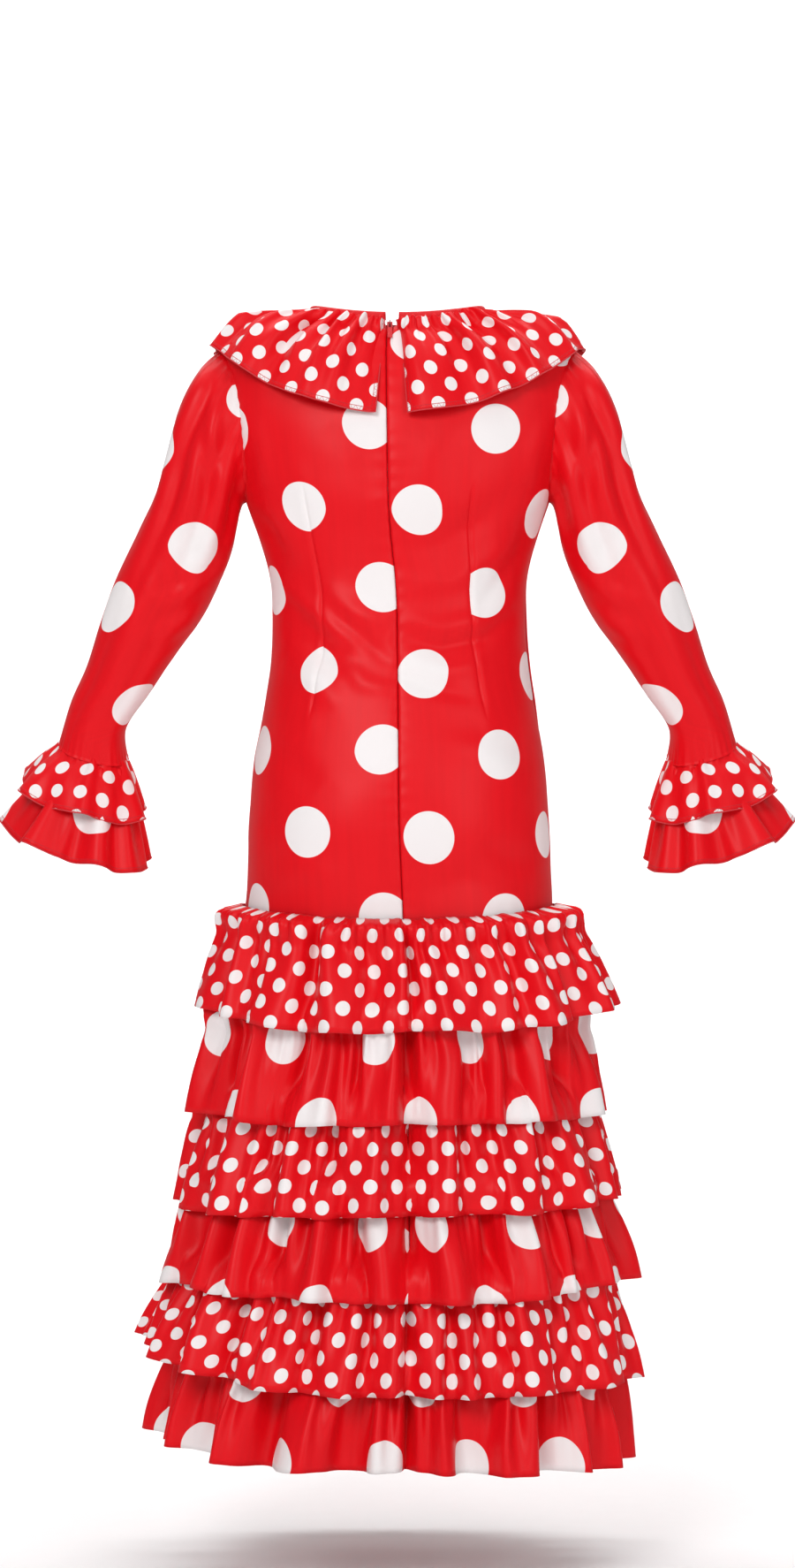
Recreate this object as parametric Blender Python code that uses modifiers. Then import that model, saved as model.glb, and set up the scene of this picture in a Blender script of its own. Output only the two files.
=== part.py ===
"""A girl's flamenco dress, as it hangs when it is worn: fitted body, set-in sleeves, ruffled collar and cuffs, six tiers.

Metres, +Z up, -Y the wearer's front and +X the wearer's left. The origin is midway between the shoulder seams' neck
ends, where the dress is held up. Each cloth piece is an open sheet through rings, thickened inwards by Solidify.
"""

import math
from collections import namedtuple

import bmesh
import bpy
from mathutils import Matrix, Vector

# Cloth.
WALL = 0.0015  # thickness of every cloth wall
SEAM_GAP = 0.0004  # half of the space between two pieces at a seam
LIFT = WALL + 0.0008  # how far a piece that lies on a panel is moved out of it
FULLNESS = 0.12  # how much squarer than an ellipse a section is
QUARTER = math.radians(90)

# Body: sections from the base's lower edge up to the neck. shift_x moves one sideways, and seam_x is where the centre
# back seam lies.
Ring = namedtuple("Ring", "name half_width back front z_back z_side z_front shift_x seam_x")
BODY_RINGS = [
    Ring("base_edge", 0.1740, 0.138, 0.132, -0.900, -0.900, -0.900, 0.0000, -0.0110),
    Ring("base_low", 0.1620, 0.129, 0.124, -0.790, -0.790, -0.790, 0.0000, -0.0100),
    Ring("base_mid", 0.1460, 0.116, 0.111, -0.655, -0.655, -0.655, 0.0000, -0.0080),
    Ring("hip_seam", 0.1320, 0.103, 0.097, -0.520, -0.511, -0.515, -0.0010, -0.0046),
    Ring("seat", 0.1293, 0.107, 0.093, -0.443, -0.443, -0.443, -0.0014, -0.0015),
    Ring("hip", 0.1247, 0.102, 0.092, -0.392, -0.392, -0.392, -0.0017, -0.0008),
    Ring("high_hip", 0.1168, 0.090, 0.090, -0.340, -0.340, -0.340, -0.0019, -0.0005),
    Ring("below_waist", 0.1110, 0.081, 0.087, -0.300, -0.300, -0.300, -0.0019, 0.0000),
    Ring("waist", 0.1092, 0.077, 0.085, -0.262, -0.262, -0.262, -0.0014, 0.0005),
    Ring("above_waist", 0.1112, 0.077, 0.088, -0.228, -0.228, -0.228, -0.0011, 0.0025),
    Ring("ribs", 0.1200, 0.080, 0.094, -0.195, -0.195, -0.195, -0.0005, 0.0060),
    Ring("armpit", 0.1306, 0.085, 0.098, -0.163, -0.163, -0.163, 0.0000, 0.0080),
    Ring("mid_armhole", 0.1500, 0.083, 0.092, -0.105, -0.105, -0.112, 0.0000, 0.0090),
    Ring("upper_armhole", 0.1590, 0.072, 0.080, -0.060, -0.062, -0.080, 0.0000, 0.0095),
    Ring("shoulder_tip", 0.1510, 0.062, 0.071, -0.036, -0.034, -0.064, 0.0000, 0.0095),
    Ring("mid_shoulder", 0.1120, 0.054, 0.065, -0.0225, -0.017, -0.056, 0.0000, 0.0080),
    Ring("neck", 0.0755, 0.046, 0.060, -0.0145, -0.006, -0.050, 0.0000, 0.0045),
]
RING = {ring.name: index for index, ring in enumerate(BODY_RINGS)}
ARMHOLE_HALF_ANGLE = math.radians(32)
ARMHOLE_STEPS = 8  # rows of a panel along one side of the armhole
ARMHOLE_INSET = 0.014  # share by which a sleeve's head is smaller than the armhole
BACK_COLUMNS = 6
FRONT_COLUMNS = 12
NECK_OPENING = 0.0058  # half of the gap above the zip's slider, at the neck edge

# Sleeves: sections of the wearer's left one. outer and inner lie in the XZ plane, back_drop tips the section.
Section = namedtuple("Section", "name outer_x outer_z inner_x inner_z y_mid half_depth back_drop")
SLEEVE_SECTIONS = [
    Section("head_top", 0.1700, -0.051, 0.1335, -0.1668, 0.000, 0.0495, 0.000),
    Section("head_mid", 0.1880, -0.086, 0.1360, -0.1735, 0.000, 0.0500, 0.000),
    Section("biceps", 0.2055, -0.150, 0.1385, -0.1850, -0.001, 0.0475, 0.000),
    Section("upper_arm", 0.2215, -0.187, 0.1450, -0.2130, -0.003, 0.0440, 0.001),
    Section("above_elbow", 0.2425, -0.230, 0.1650, -0.2570, -0.008, 0.0420, 0.003),
    Section("elbow", 0.2560, -0.267, 0.1905, -0.2930, -0.012, 0.0380, 0.006),
    Section("forearm", 0.2690, -0.3055, 0.2140, -0.3270, -0.017, 0.0330, 0.008),
    Section("wrist", 0.2830, -0.336, 0.2345, -0.3580, -0.021, 0.0300, 0.009),
    Section("cuff_seam", 0.2930, -0.371, 0.2345, -0.3855, -0.025, 0.0315, 0.010),
]
UPPER_CUFF_SECTIONS = [
    Section("seam", 0.2936, -0.3722, 0.2341, -0.3867, -0.025, 0.0318, 0.010),
    Section("middle", 0.3140, -0.3870, 0.2260, -0.4050, -0.027, 0.0440, 0.012),
    Section("hem", 0.3290, -0.4040, 0.2180, -0.4330, -0.029, 0.0530, 0.014),
]
LOWER_CUFF_SECTIONS = [
    Section("seam", 0.2898, -0.3735, 0.2374, -0.3860, -0.025, 0.0286, 0.010),
    Section("middle", 0.3120, -0.4050, 0.2250, -0.4310, -0.029, 0.0440, 0.012),
    Section("hem", 0.3425, -0.4400, 0.2150, -0.4760, -0.033, 0.0600, 0.014),
]
SLEEVE_COLUMNS = 2 * ARMHOLE_STEPS
CUFF_FOLDS = 6
CUFF_FOLD_DEPTH = 0.0030

# Collar: sections from the neck seam out over the shoulders. The two ends stand apart at the centre back.
CollarRing = namedtuple("CollarRing", "name half_width back front z_back z_side z_front left_end_x right_end_x")
COLLAR_RINGS = [
    CollarRing("seam", 0.0790, 0.0495, 0.0635, -0.0150, -0.0030, -0.0480, 0.0108, 0.0010),
    CollarRing("rise", 0.1030, 0.0630, 0.0760, -0.0270, 0.0010, -0.0580, 0.0125, -0.0020),
    CollarRing("fall", 0.1330, 0.0790, 0.0930, -0.0560, -0.0060, -0.0850, 0.0150, -0.0055),
    CollarRing("hem", 0.1590, 0.0920, 0.1080, -0.0950, -0.0310, -0.1240, 0.0185, -0.0085),
]
COLLAR_COLUMNS = 44
COLLAR_FOLDS = 15
COLLAR_FOLD_DEPTH = 0.0025

# Neck binding: a band that stands on the neck edge, open above the zip.
BindingRing = namedtuple("BindingRing", "name half_width back front z_back z_side z_front left_end_x right_end_x")
BINDING_RINGS = [
    BindingRing("lower", 0.0752, 0.0458, 0.0597, -0.0136, -0.0051, -0.0490, 0.0102, -0.0010),
    BindingRing("upper", 0.0735, 0.0440, 0.0570, -0.0060, 0.0035, -0.0400, 0.0104, -0.0012),
]
BINDING_COLUMNS = 32

# Skirt tiers: each strip is gathered onto the base at its seam and swings out to its hem: soonest where flare is low.
Tier = namedtuple(
    "Tier", "name seam_back seam_side back_z left_z right_z front_z half_width back front shift_x flare drops"
)
TIERS = [
    Tier("tier_1", -0.520, -0.511, -0.613, -0.594, -0.594, -0.613, 0.176, 0.146, 0.140, -0.006, 0.40, (0, 0.13, 0.45, 1)),
    Tier("tier_2", -0.590, -0.590, -0.689, -0.685, -0.685, -0.689, 0.176, 0.149, 0.143, 0.002, 0.40, (0, 0.35, 1)),
    Tier("tier_3", -0.664, -0.664, -0.765, -0.764, -0.758, -0.765, 0.191, 0.160, 0.154, -0.001, 0.55, (0, 0.4, 1)),
    Tier("tier_4", -0.735, -0.735, -0.833, -0.828, -0.828, -0.833, 0.200, 0.168, 0.162, 0.000, 0.50, (0, 0.4, 1)),
    Tier("tier_5", -0.808, -0.808, -0.9065, -0.880, -0.908, -0.9065, 0.213, 0.178, 0.172, 0.007, 0.55, (0, 0.4, 1)),
    Tier("tier_6", -0.879, -0.879, -0.972, -0.957, -0.982, -0.972, 0.203, 0.173, 0.167, 0.006, 0.45, (0, 0.4, 1)),
]
FOLD_DEPTH = 0.0070  # how far a tier's fold stands out or in at the hem
COLUMNS_PER_FOLD = 4
# The main folds, clockwise from the centre back: how wide each is against the others, and how deep.
Fold = namedtuple("Fold", "width depth")
FOLDS = [
    Fold(1.00, 1.00), Fold(0.80, 0.70), Fold(1.20, 0.90), Fold(0.90, 1.00), Fold(1.10, 0.75),
    Fold(0.85, 0.90), Fold(1.25, 1.00), Fold(0.95, 0.70), Fold(1.05, 0.95), Fold(0.80, 0.80),
    Fold(1.15, 1.00), Fold(0.90, 0.75), Fold(1.05, 0.90),
]

# Zip: a tape behind the centre back seam, a slider near the neck and its pull tab.
ZIP_BOTTOM_RING = "high_hip"
TAPE_HALF_WIDTH = 0.011
TAPE_WALL = 0.0010
TAPE_DEPTH = WALL + 0.0014  # of the tape's outer side behind the panels'
SLIDER_X = 0.0065
SLIDER_Z = -0.0190
SLIDER_LENGTH = 0.0075
SLIDER_WIDTH = 0.0048
SLIDER_THICKNESS = 0.0018
SLIDER_STANDOFF = 0.0006  # clear space between the cloth and the slider
BRIDGE_WIRE = 0.0005
BRIDGE_HEIGHT = 0.0030
BRIDGE_HALF_SPAN = 0.0024
PIVOT_HEIGHT = 0.0015  # of the tab's cross bar above the slider's face
TAB_LENGTH = 0.0155
TAB_WIDTH = 0.0042
TAB_THICKNESS = 0.0009
TAB_TIP_DROP = 0.0125  # how far below the slider the tab's tip lies on the cloth
TAB_TIP_STANDOFF = 0.0024  # from the cloth to the middle of the tab's tip
EYE_LENGTH = 0.0044
EYE_WIDTH = 0.0022

# Colours, linear.
RED_SATIN = (0.72, 0.012, 0.018, 1.0)
RED_BINDING = (0.66, 0.012, 0.016, 1.0)
RED_TAPE = (0.45, 0.010, 0.014, 1.0)
RED_ENAMEL = (0.55, 0.020, 0.025, 1.0)


def clear_scene():
    for obj in list(bpy.data.objects):
        bpy.data.objects.remove(obj)


def make_material(name, colour, roughness, metallic=0.0):
    material = bpy.data.materials.new(name)
    material.use_nodes = True
    shader = material.node_tree.nodes["Principled BSDF"]
    shader.inputs["Base Color"].default_value = colour
    shader.inputs["Roughness"].default_value = roughness
    shader.inputs["Metallic"].default_value = metallic
    material.diffuse_color = colour
    return material


def smooth_row(table, place):
    """The table's row at a place between two rows, as a curve through them (Catmull-Rom)."""
    index = min(int(place), len(table) - 2)
    share = place - index
    rows = [table[max(0, min(len(table) - 1, index + step))] for step in (-1, 0, 1, 2)]
    values = []
    for a, b, c, d in zip(*(row[1:] for row in rows)):
        bend = (2 * a - 5 * b + 4 * c - d) * share**2 + (3 * (b - c) + d - a) * share**3
        values.append(b + 0.5 * ((c - a) * share + bend))
    return type(rows[0])(rows[1].name, *values)


def oval(half_width, back, front, angle):
    """The point at an angle from the centre back, towards the wearer's left, on a section a little fuller than an oval."""
    s, c = math.sin(angle), math.cos(angle)
    depth = back if c > 0 else front
    return half_width * s * (1 + FULLNESS * c * c), depth * c * (1 + FULLNESS * s * s)


def ring_point(ring, angle):
    x, y = oval(ring.half_width, ring.back, ring.front, angle)
    s, c = math.sin(angle), math.cos(angle)
    middle_z = ring.z_back if c > 0 else ring.z_front
    return Vector((x + getattr(ring, "shift_x", 0), y, ring.z_side * s * s + middle_z * c * c))


def body_point(angle, place):
    return ring_point(smooth_row(BODY_RINGS, place), angle)


def moved_out(point, distance):
    """The point, moved straight away from the dress's middle line."""
    return point + Vector((point.x, point.y, 0)).normalized() * distance


def angle_at_x(ring, x):
    """The angle of the point near the centre back whose distance from the middle is x."""
    return math.asin((x - getattr(ring, "shift_x", 0)) / (ring.half_width * (1 + FULLNESS)))


def place_at_z(z):
    """The place in BODY_RINGS whose side lies at height z, by halving."""
    low, high = 0.0, float(RING["armpit"])
    for _ in range(40):
        middle = (low + high) / 2
        if body_point(QUARTER, middle).z < z:
            low = middle
        else:
            high = middle
    return low


# Pieces.


def cloth(name, rows, material, closed=False, wall=WALL):
    """A cloth piece from rows of points, listed from the top down and round from the left of the centre back."""
    bm = bmesh.new()
    grid = [[bm.verts.new(point) for point in row] for row in rows]
    columns = len(rows[0])
    for upper, lower in zip(grid, grid[1:]):
        for j in range(columns if closed else columns - 1):
            k = (j + 1) % columns
            bm.faces.new((upper[j], upper[k], lower[k], lower[j]))
    mesh = bpy.data.meshes.new(name)
    bm.to_mesh(mesh)
    bm.free()
    mesh.shade_smooth()
    obj = bpy.data.objects.new(name, mesh)
    obj.data.materials.append(material)
    COLLECTION.objects.link(obj)
    solidify = obj.modifiers.new("Wall", "SOLIDIFY")
    solidify.thickness = wall
    solidify.offset = -1
    return obj


def mirrored(rows):
    """The rows of the wearer's right side, from those of the left one."""
    return [[Vector((-p.x, p.y, p.z)) for p in reversed(row)] for row in rows]


def armhole_angle(share):
    """Half of the armhole's opening, as an angle, at a share of the way from the armpit to the shoulder tip."""
    return ARMHOLE_HALF_ANGLE * 2 * math.sqrt(max(0.0, share * (1 - share)))


def panel_places():
    """Places of the panels' rows, from the neck down: whole rings, with closer rows along the armhole."""
    armpit, tip = RING["armpit"], RING["shoulder_tip"]
    shares = [(1 + math.cos(math.pi * k / ARMHOLE_STEPS)) / 2 for k in range(ARMHOLE_STEPS + 1)]
    above = [RING["neck"], RING["mid_shoulder"]]
    beside = [armpit + (tip - armpit) * share for share in shares]
    below = list(range(armpit - 1, -1, -1))
    return above + beside + below


def side_angle(place):
    """How far from the centre a panel reaches: to its side seam, armhole or shoulder seam."""
    armpit, tip = RING["armpit"], RING["shoulder_tip"]
    share = (place - armpit) / (tip - armpit)
    seam = SEAM_GAP / smooth_row(BODY_RINGS, place).back
    return QUARTER - (max(armhole_angle(share), seam) if 0 < share < 1 else seam)


def back_panel(name, side, material):
    """One back panel, from the centre back seam to the side. side is +1 for the wearer's left."""
    rows = []
    for place in panel_places():
        ring = smooth_row(BODY_RINGS, place)
        parting = NECK_OPENING if place == RING["neck"] else SEAM_GAP
        start = angle_at_x(ring, ring.seam_x + side * parting)
        end = side * side_angle(place)
        row = [body_point(start + (end - start) * k / BACK_COLUMNS, place) for k in range(BACK_COLUMNS + 1)]
        rows.append(row if side > 0 else row[::-1])
    return cloth(name, rows, material)


def front_panel(name, material):
    rows = []
    for place in panel_places():
        start = 2 * QUARTER - side_angle(place)
        span = 4 * QUARTER - 2 * start
        rows.append([body_point(start + span * k / FRONT_COLUMNS, place) for k in range(FRONT_COLUMNS + 1)])
    return cloth(name, rows, material)


def armhole_ring(columns):
    """The armhole's edge, a little inside it, from the armpit round by the back."""
    armpit, tip = RING["armpit"], RING["shoulder_tip"]
    points = []
    for k in range(columns):
        turn = 2 * math.pi * k / columns
        share = 0.5 - 0.5 * (1 - ARMHOLE_INSET) * math.cos(turn)
        opening = ARMHOLE_HALF_ANGLE * (1 - ARMHOLE_INSET) * math.sin(turn)
        points.append(body_point(QUARTER - opening, armpit + (tip - armpit) * share))
    return points


def section_point(section, turn, depth=0.0):
    """The point of a sleeve's section at a turn from its inner side, by the back. depth moves it outwards."""
    outer = Vector((section.outer_x, section.y_mid, section.outer_z))
    inner = Vector((section.inner_x, section.y_mid, section.inner_z))
    across = (outer - inner) / 2
    backward = Vector((0, section.half_depth, -section.back_drop))
    s, c = math.sin(turn), math.cos(turn)
    spoke = backward * s * (1 + FULLNESS * c * c) - across * c * (1 + FULLNESS * s * s)
    return (outer + inner) / 2 + spoke + spoke.normalized() * depth


def sleeve_rows():
    turns = [2 * math.pi * k / SLEEVE_COLUMNS for k in range(SLEEVE_COLUMNS)]
    sections = [[section_point(section, turn) for turn in turns] for section in SLEEVE_SECTIONS]
    return [armhole_ring(SLEEVE_COLUMNS)] + sections


def cuff_rows(sections):
    """A cuff ruffle's rows: its folds deepen from the seam to the hem."""
    columns = CUFF_FOLDS * COLUMNS_PER_FOLD
    rows = []
    for index, section in enumerate(sections):
        depth = CUFF_FOLD_DEPTH * index / (len(sections) - 1)
        turns = [2 * math.pi * k / columns for k in range(columns)]
        rows.append([section_point(section, turn, depth * math.cos(CUFF_FOLDS * turn)) for turn in turns])
    return rows


def open_ring_angles(ring, columns):
    """Angles all round from the left end to the right end, either side of the centre back."""
    start = angle_at_x(ring, ring.left_end_x)
    end = 4 * QUARTER + angle_at_x(ring, ring.right_end_x)
    return [start + (end - start) * k / columns for k in range(columns + 1)]


def collar(name, material):
    rows = []
    for index, ring in enumerate(COLLAR_RINGS):
        depth = COLLAR_FOLD_DEPTH * index / (len(COLLAR_RINGS) - 1)
        angles = open_ring_angles(ring, COLLAR_COLUMNS)
        rows.append([ring_point(ring, a) + Vector((0, 0, depth * math.sin(COLLAR_FOLDS * a))) for a in angles])
    return cloth(name, rows, material)


def neck_binding(name, material):
    rows = [[ring_point(ring, a) for a in open_ring_angles(ring, BINDING_COLUMNS)] for ring in reversed(BINDING_RINGS)]
    return cloth(name, rows, material)


def fold_columns():
    """(angle, how far out, from -1 to 1) of each column of a tier, a few to each fold."""
    total = sum(fold.width for fold in FOLDS)
    start, columns = 0.0, []
    for fold in FOLDS:
        span = 4 * QUARTER * fold.width / total
        for step in range(COLUMNS_PER_FOLD):
            share = step / COLUMNS_PER_FOLD
            columns.append((start + span * share, fold.depth * math.cos(2 * math.pi * share)))
        start += span
    return columns


def tier_point(tier, angle, out, drop):
    """A point of a tier, at a share of the drop from its seam to its hem."""
    s, c = math.sin(angle), math.cos(angle)
    seam = moved_out(body_point(angle, place_at_z(tier.seam_side)), LIFT)
    seam.z = tier.seam_side * s * s + tier.seam_back * c * c
    x, y = oval(tier.half_width, tier.back, tier.front, angle)
    side_z = tier.left_z if s > 0 else tier.right_z
    middle_z = tier.back_z if c > 0 else tier.front_z
    hem = Vector((x + tier.shift_x, y, side_z * s * s + middle_z * c * c))
    point = seam.lerp(hem, drop**tier.flare)
    point.z = seam.z + (hem.z - seam.z) * drop
    return moved_out(point, FOLD_DEPTH * out * drop**0.8)


def skirt_tier(tier, material):
    columns = fold_columns()
    rows = [[tier_point(tier, angle, out, drop) for angle, out in columns] for drop in tier.drops]
    return cloth(tier.name, rows, material, closed=True)


# Zip.


def back_frame(x, z):
    """The point of the back's outer side at x and z, with its outward and upward directions as a matrix."""
    low, high = float(RING["waist"]), float(RING["neck"])
    for _ in range(40):
        place = (low + high) / 2
        angle = angle_at_x(smooth_row(BODY_RINGS, place), x)
        if body_point(angle, place).z < z:
            low = place
        else:
            high = place
    point = body_point(angle, place)
    step = 0.02
    up = (body_point(angle, place + step) - body_point(angle, place - step)).normalized()
    up = Vector((0, up.y, up.z)).normalized()
    across = Vector((1, 0, 0))
    out = up.cross(across)
    matrix = Matrix((across, out, up)).transposed().to_4x4()
    matrix.translation = point
    return matrix


def zip_tape(name, material):
    """The tape, behind the panels' wall along the centre back seam."""
    bottom, top = RING[ZIP_BOTTOM_RING], RING["neck"]
    rows = []
    for place in [top - 0.1] + [place for place in panel_places() if bottom <= place < top]:
        ring = smooth_row(BODY_RINGS, place)
        xs = [ring.seam_x + TAPE_HALF_WIDTH * side for side in (-1, -0.5, 0, 0.5, 1)]
        points = [body_point(angle_at_x(ring, x), place) for x in xs]
        above, below = body_point(0, place + 0.02), body_point(0, place - 0.02)
        slope = above - below
        inward = Vector((0, -slope.z, slope.y)).normalized()
        rows.append([point + inward * TAPE_DEPTH for point in points])
    return cloth(name, rows, material, wall=TAPE_WALL)


def solid_from_curve(curve_obj, name, material):
    """A mesh object with the curve's evaluated shape, its caps welded."""
    bpy.context.view_layer.update()
    graph = bpy.context.evaluated_depsgraph_get()
    mesh = bpy.data.meshes.new_from_object(curve_obj.evaluated_get(graph))
    bm = bmesh.new()
    bm.from_mesh(mesh)
    bmesh.ops.remove_doubles(bm, verts=bm.verts, dist=1e-6)
    bm.to_mesh(mesh)
    bm.free()
    obj = bpy.data.objects.new(name, mesh)
    obj.matrix_world = curve_obj.matrix_world.copy()
    obj.data.materials.append(material)
    bpy.data.objects.remove(curve_obj)
    return obj


def box(name, size, centre, material):
    bm = bmesh.new()
    bmesh.ops.create_cube(bm, size=1.0, matrix=Matrix.Translation(centre) @ Matrix.Diagonal((*size, 1)))
    mesh = bpy.data.meshes.new(name)
    bm.to_mesh(mesh)
    bm.free()
    obj = bpy.data.objects.new(name, mesh)
    obj.data.materials.append(material)
    return obj


def boolean(obj, other, operation, helpers):
    helpers.objects.link(other)
    other.hide_render = True
    other.display_type = "WIRE"
    modifier = obj.modifiers.new(operation.title(), "BOOLEAN")
    modifier.operation = operation
    modifier.object = other


def zip_slider(name, place, material, helpers):
    """The slider's body with the bridge that holds the tab. Its local Y points out of the back."""
    centre = Vector((0, -SLIDER_THICKNESS / 2, 0))
    body = box(name, (SLIDER_WIDTH, SLIDER_THICKNESS, SLIDER_LENGTH), centre, material)
    body.matrix_world = place
    COLLECTION.objects.link(body)
    bevel = body.modifiers.new("Rounded", "BEVEL")
    bevel.width = SLIDER_THICKNESS / 4
    bevel.segments = 2
    sunk = SLIDER_THICKNESS / 2
    path = [(-BRIDGE_HALF_SPAN, -sunk), (-BRIDGE_HALF_SPAN, BRIDGE_HEIGHT * 0.5), (-BRIDGE_HALF_SPAN * 0.7, BRIDGE_HEIGHT)]
    path += [(-z, y) for z, y in reversed(path)]
    curve = bpy.data.curves.new(name + "_bridge", "CURVE")
    curve.dimensions = "3D"
    curve.bevel_depth = BRIDGE_WIRE
    curve.bevel_resolution = 2
    curve.use_fill_caps = True
    spline = curve.splines.new("POLY")
    spline.points.add(len(path) - 1)
    for point, (z, y) in zip(spline.points, path):
        point.co = (0, y, z, 1)
    bridge_curve = bpy.data.objects.new(name + "_bridge", curve)
    COLLECTION.objects.link(bridge_curve)
    bridge_curve.matrix_world = place
    boolean(body, solid_from_curve(bridge_curve, name + "_bridge", material), "UNION", helpers)
    return body


def zip_pull(name, pivot, material, helpers):
    """The tab, hanging from its cross bar onto the cloth. Its origin is on the bar's axis, and it turns about local X."""
    tip = back_frame(SLIDER_X, SLIDER_Z - TAB_TIP_DROP) @ Vector((0, TAB_TIP_STANDOFF, 0))
    down = tip - pivot
    place = Matrix.Translation(pivot) @ Matrix.Rotation(math.atan2(down.y, -down.z), 4, "X")
    length = TAB_LENGTH + TAB_THICKNESS / 2
    centre = Vector((0, 0, TAB_THICKNESS / 2 - length / 2))
    tab = box(name, (TAB_WIDTH, TAB_THICKNESS, length), centre, material)
    tab.matrix_world = place
    COLLECTION.objects.link(tab)
    eye_centre = Vector((0, 0, -TAB_THICKNESS / 2 - EYE_LENGTH / 2))
    eye = box(name + "_eye", (EYE_WIDTH, 3 * TAB_THICKNESS, EYE_LENGTH), eye_centre, material)
    eye.matrix_world = place
    boolean(tab, eye, "DIFFERENCE", helpers)
    bevel = tab.modifiers.new("Rounded", "BEVEL")
    bevel.width = TAB_THICKNESS / 4
    bevel.segments = 1
    return tab


def build():
    large_dots = make_material("large_dot_satin", RED_SATIN, 0.35)
    small_dots = make_material("small_dot_satin", RED_SATIN, 0.38)
    binding = make_material("binding_satin", RED_BINDING, 0.40)
    tape = make_material("zip_tape", RED_TAPE, 0.80)
    enamel = make_material("zip_enamel", RED_ENAMEL, 0.30, metallic=0.6)
    helpers = bpy.data.collections.new("cutters")
    bpy.context.scene.collection.children.link(helpers)

    back_panel("back_left", 1, large_dots)
    back_panel("back_right", -1, large_dots)
    front_panel("front", large_dots)
    for side, turn in (("left", lambda rows: rows), ("right", mirrored)):
        cloth("sleeve_" + side, turn(sleeve_rows()), large_dots, closed=True)
        cloth("cuff_upper_" + side, turn(cuff_rows(UPPER_CUFF_SECTIONS)), small_dots, closed=True)
        cloth("cuff_lower_" + side, turn(cuff_rows(LOWER_CUFF_SECTIONS)), large_dots, closed=True)
    collar("collar_ruffle", small_dots)
    neck_binding("neck_binding", binding)
    for index, tier in enumerate(TIERS):
        skirt_tier(tier, large_dots if index % 2 else small_dots)

    zip_tape("zip_tape", tape)
    surface = back_frame(SLIDER_X, SLIDER_Z)
    slider_place = surface @ Matrix.Translation((0, SLIDER_STANDOFF + SLIDER_THICKNESS, 0))
    zip_slider("zip_slider", slider_place, enamel, helpers)
    zip_pull("zip_pull", slider_place @ Vector((0, PIVOT_HEIGHT, 0)), enamel, helpers)


clear_scene()
COLLECTION = bpy.data.collections.new("flamenco_dress")
bpy.context.scene.collection.children.link(COLLECTION)
build()
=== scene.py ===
"""A girl's flamenco dress of dotted satin as it hangs when worn, with a neck ruffle, cuff ruffles and tiers.

Metres, +Z up, -Y the wearer's front and +X the wearer's left. The origin is where the shoulders hold it.
"""

import logging
import math
from dataclasses import dataclass
from enum import Enum

import bpy
import numpy as np
from bpy.types import Material, Mesh, Node, NodeTree, Object
from bpy.types import NodeSocket as Socket
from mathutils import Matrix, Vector
from numpy import ndarray as Array


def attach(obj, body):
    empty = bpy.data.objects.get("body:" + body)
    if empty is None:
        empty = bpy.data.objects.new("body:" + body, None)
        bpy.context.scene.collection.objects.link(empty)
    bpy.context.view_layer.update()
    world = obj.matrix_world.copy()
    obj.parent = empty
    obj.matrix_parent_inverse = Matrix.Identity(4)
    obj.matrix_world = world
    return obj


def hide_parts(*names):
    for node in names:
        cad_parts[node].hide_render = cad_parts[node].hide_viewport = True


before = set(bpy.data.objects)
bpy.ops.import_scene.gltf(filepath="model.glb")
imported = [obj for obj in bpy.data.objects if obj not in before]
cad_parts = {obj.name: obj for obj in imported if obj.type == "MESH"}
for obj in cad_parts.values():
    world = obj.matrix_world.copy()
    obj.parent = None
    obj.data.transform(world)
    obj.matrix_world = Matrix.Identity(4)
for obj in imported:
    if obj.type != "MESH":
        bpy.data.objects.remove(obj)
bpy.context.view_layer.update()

LOG = logging.getLogger("flamenco_dress")
BODY = "dress"  # the body that all the cloth moves with
QUARTER = math.pi / 2
FULLNESS = 0.12  # how much squarer than an ellipse a section of the body is
BODY_WALL = 0.0008
RUFFLE_WALL = 0.0006
BEAD_RADIUS = 0.00055


# Numbers that the cloth is worked out with.


def smooth_step(low: float, high: float, value: Array) -> Array:
    """Rises smoothly from 0 at low to 1 at high.

    Args:
        low: Where the rise starts.
        high: Where it ends. It may be under low, for a fall.
        value: The places to find it at.

    Returns:
        The height at each place.
    """
    share = np.clip((value - low) / (high - low), 0.0, 1.0)
    return share * share * (3 - 2 * share)


def along_table(table: Array, place: Array) -> Array:
    """Rows of a table at places between its rows, on a smooth curve through them.

    Args:
        table: The rows, of any shape after the first axis.
        place: Row numbers with a fraction.

    Returns:
        One row for each place.
    """
    place = np.asarray(place, float)
    index = np.clip(place.astype(int), 0, len(table) - 2)
    share = (place - index).reshape(place.shape + (1,) * (table.ndim - 1))
    a, b, c, d = (table[np.clip(index + step, 0, len(table) - 1)] for step in (-1, 0, 1, 2))
    bend = (2 * a - 5 * b + 4 * c - d) * share**2 + (3 * (b - c) + d - a) * share**3
    return b + 0.5 * ((c - a) * share + bend)


def read_table(table: tuple, at: Array, column: int = 1) -> Array:
    """A column of a table at places between its rows.

    Args:
        table: The rows, each with its place first.
        at: The places to find it at.
        column: Which column.

    Returns:
        The value at each place.
    """
    rows = np.array(sorted(table))
    return np.interp(at, rows[:, 0], rows[:, column])


def bell(away: Array, width: float) -> Array:
    """A bump of height 1 that fades within about its width."""
    return np.exp(-((away / width) ** 2))


def groove(away: Array, parts: tuple) -> Array:
    """How deep a seam lies at a distance from it, as a sum of (depth, width) parts."""
    return sum(depth * bell(away, width) for depth, width in parts)


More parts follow.
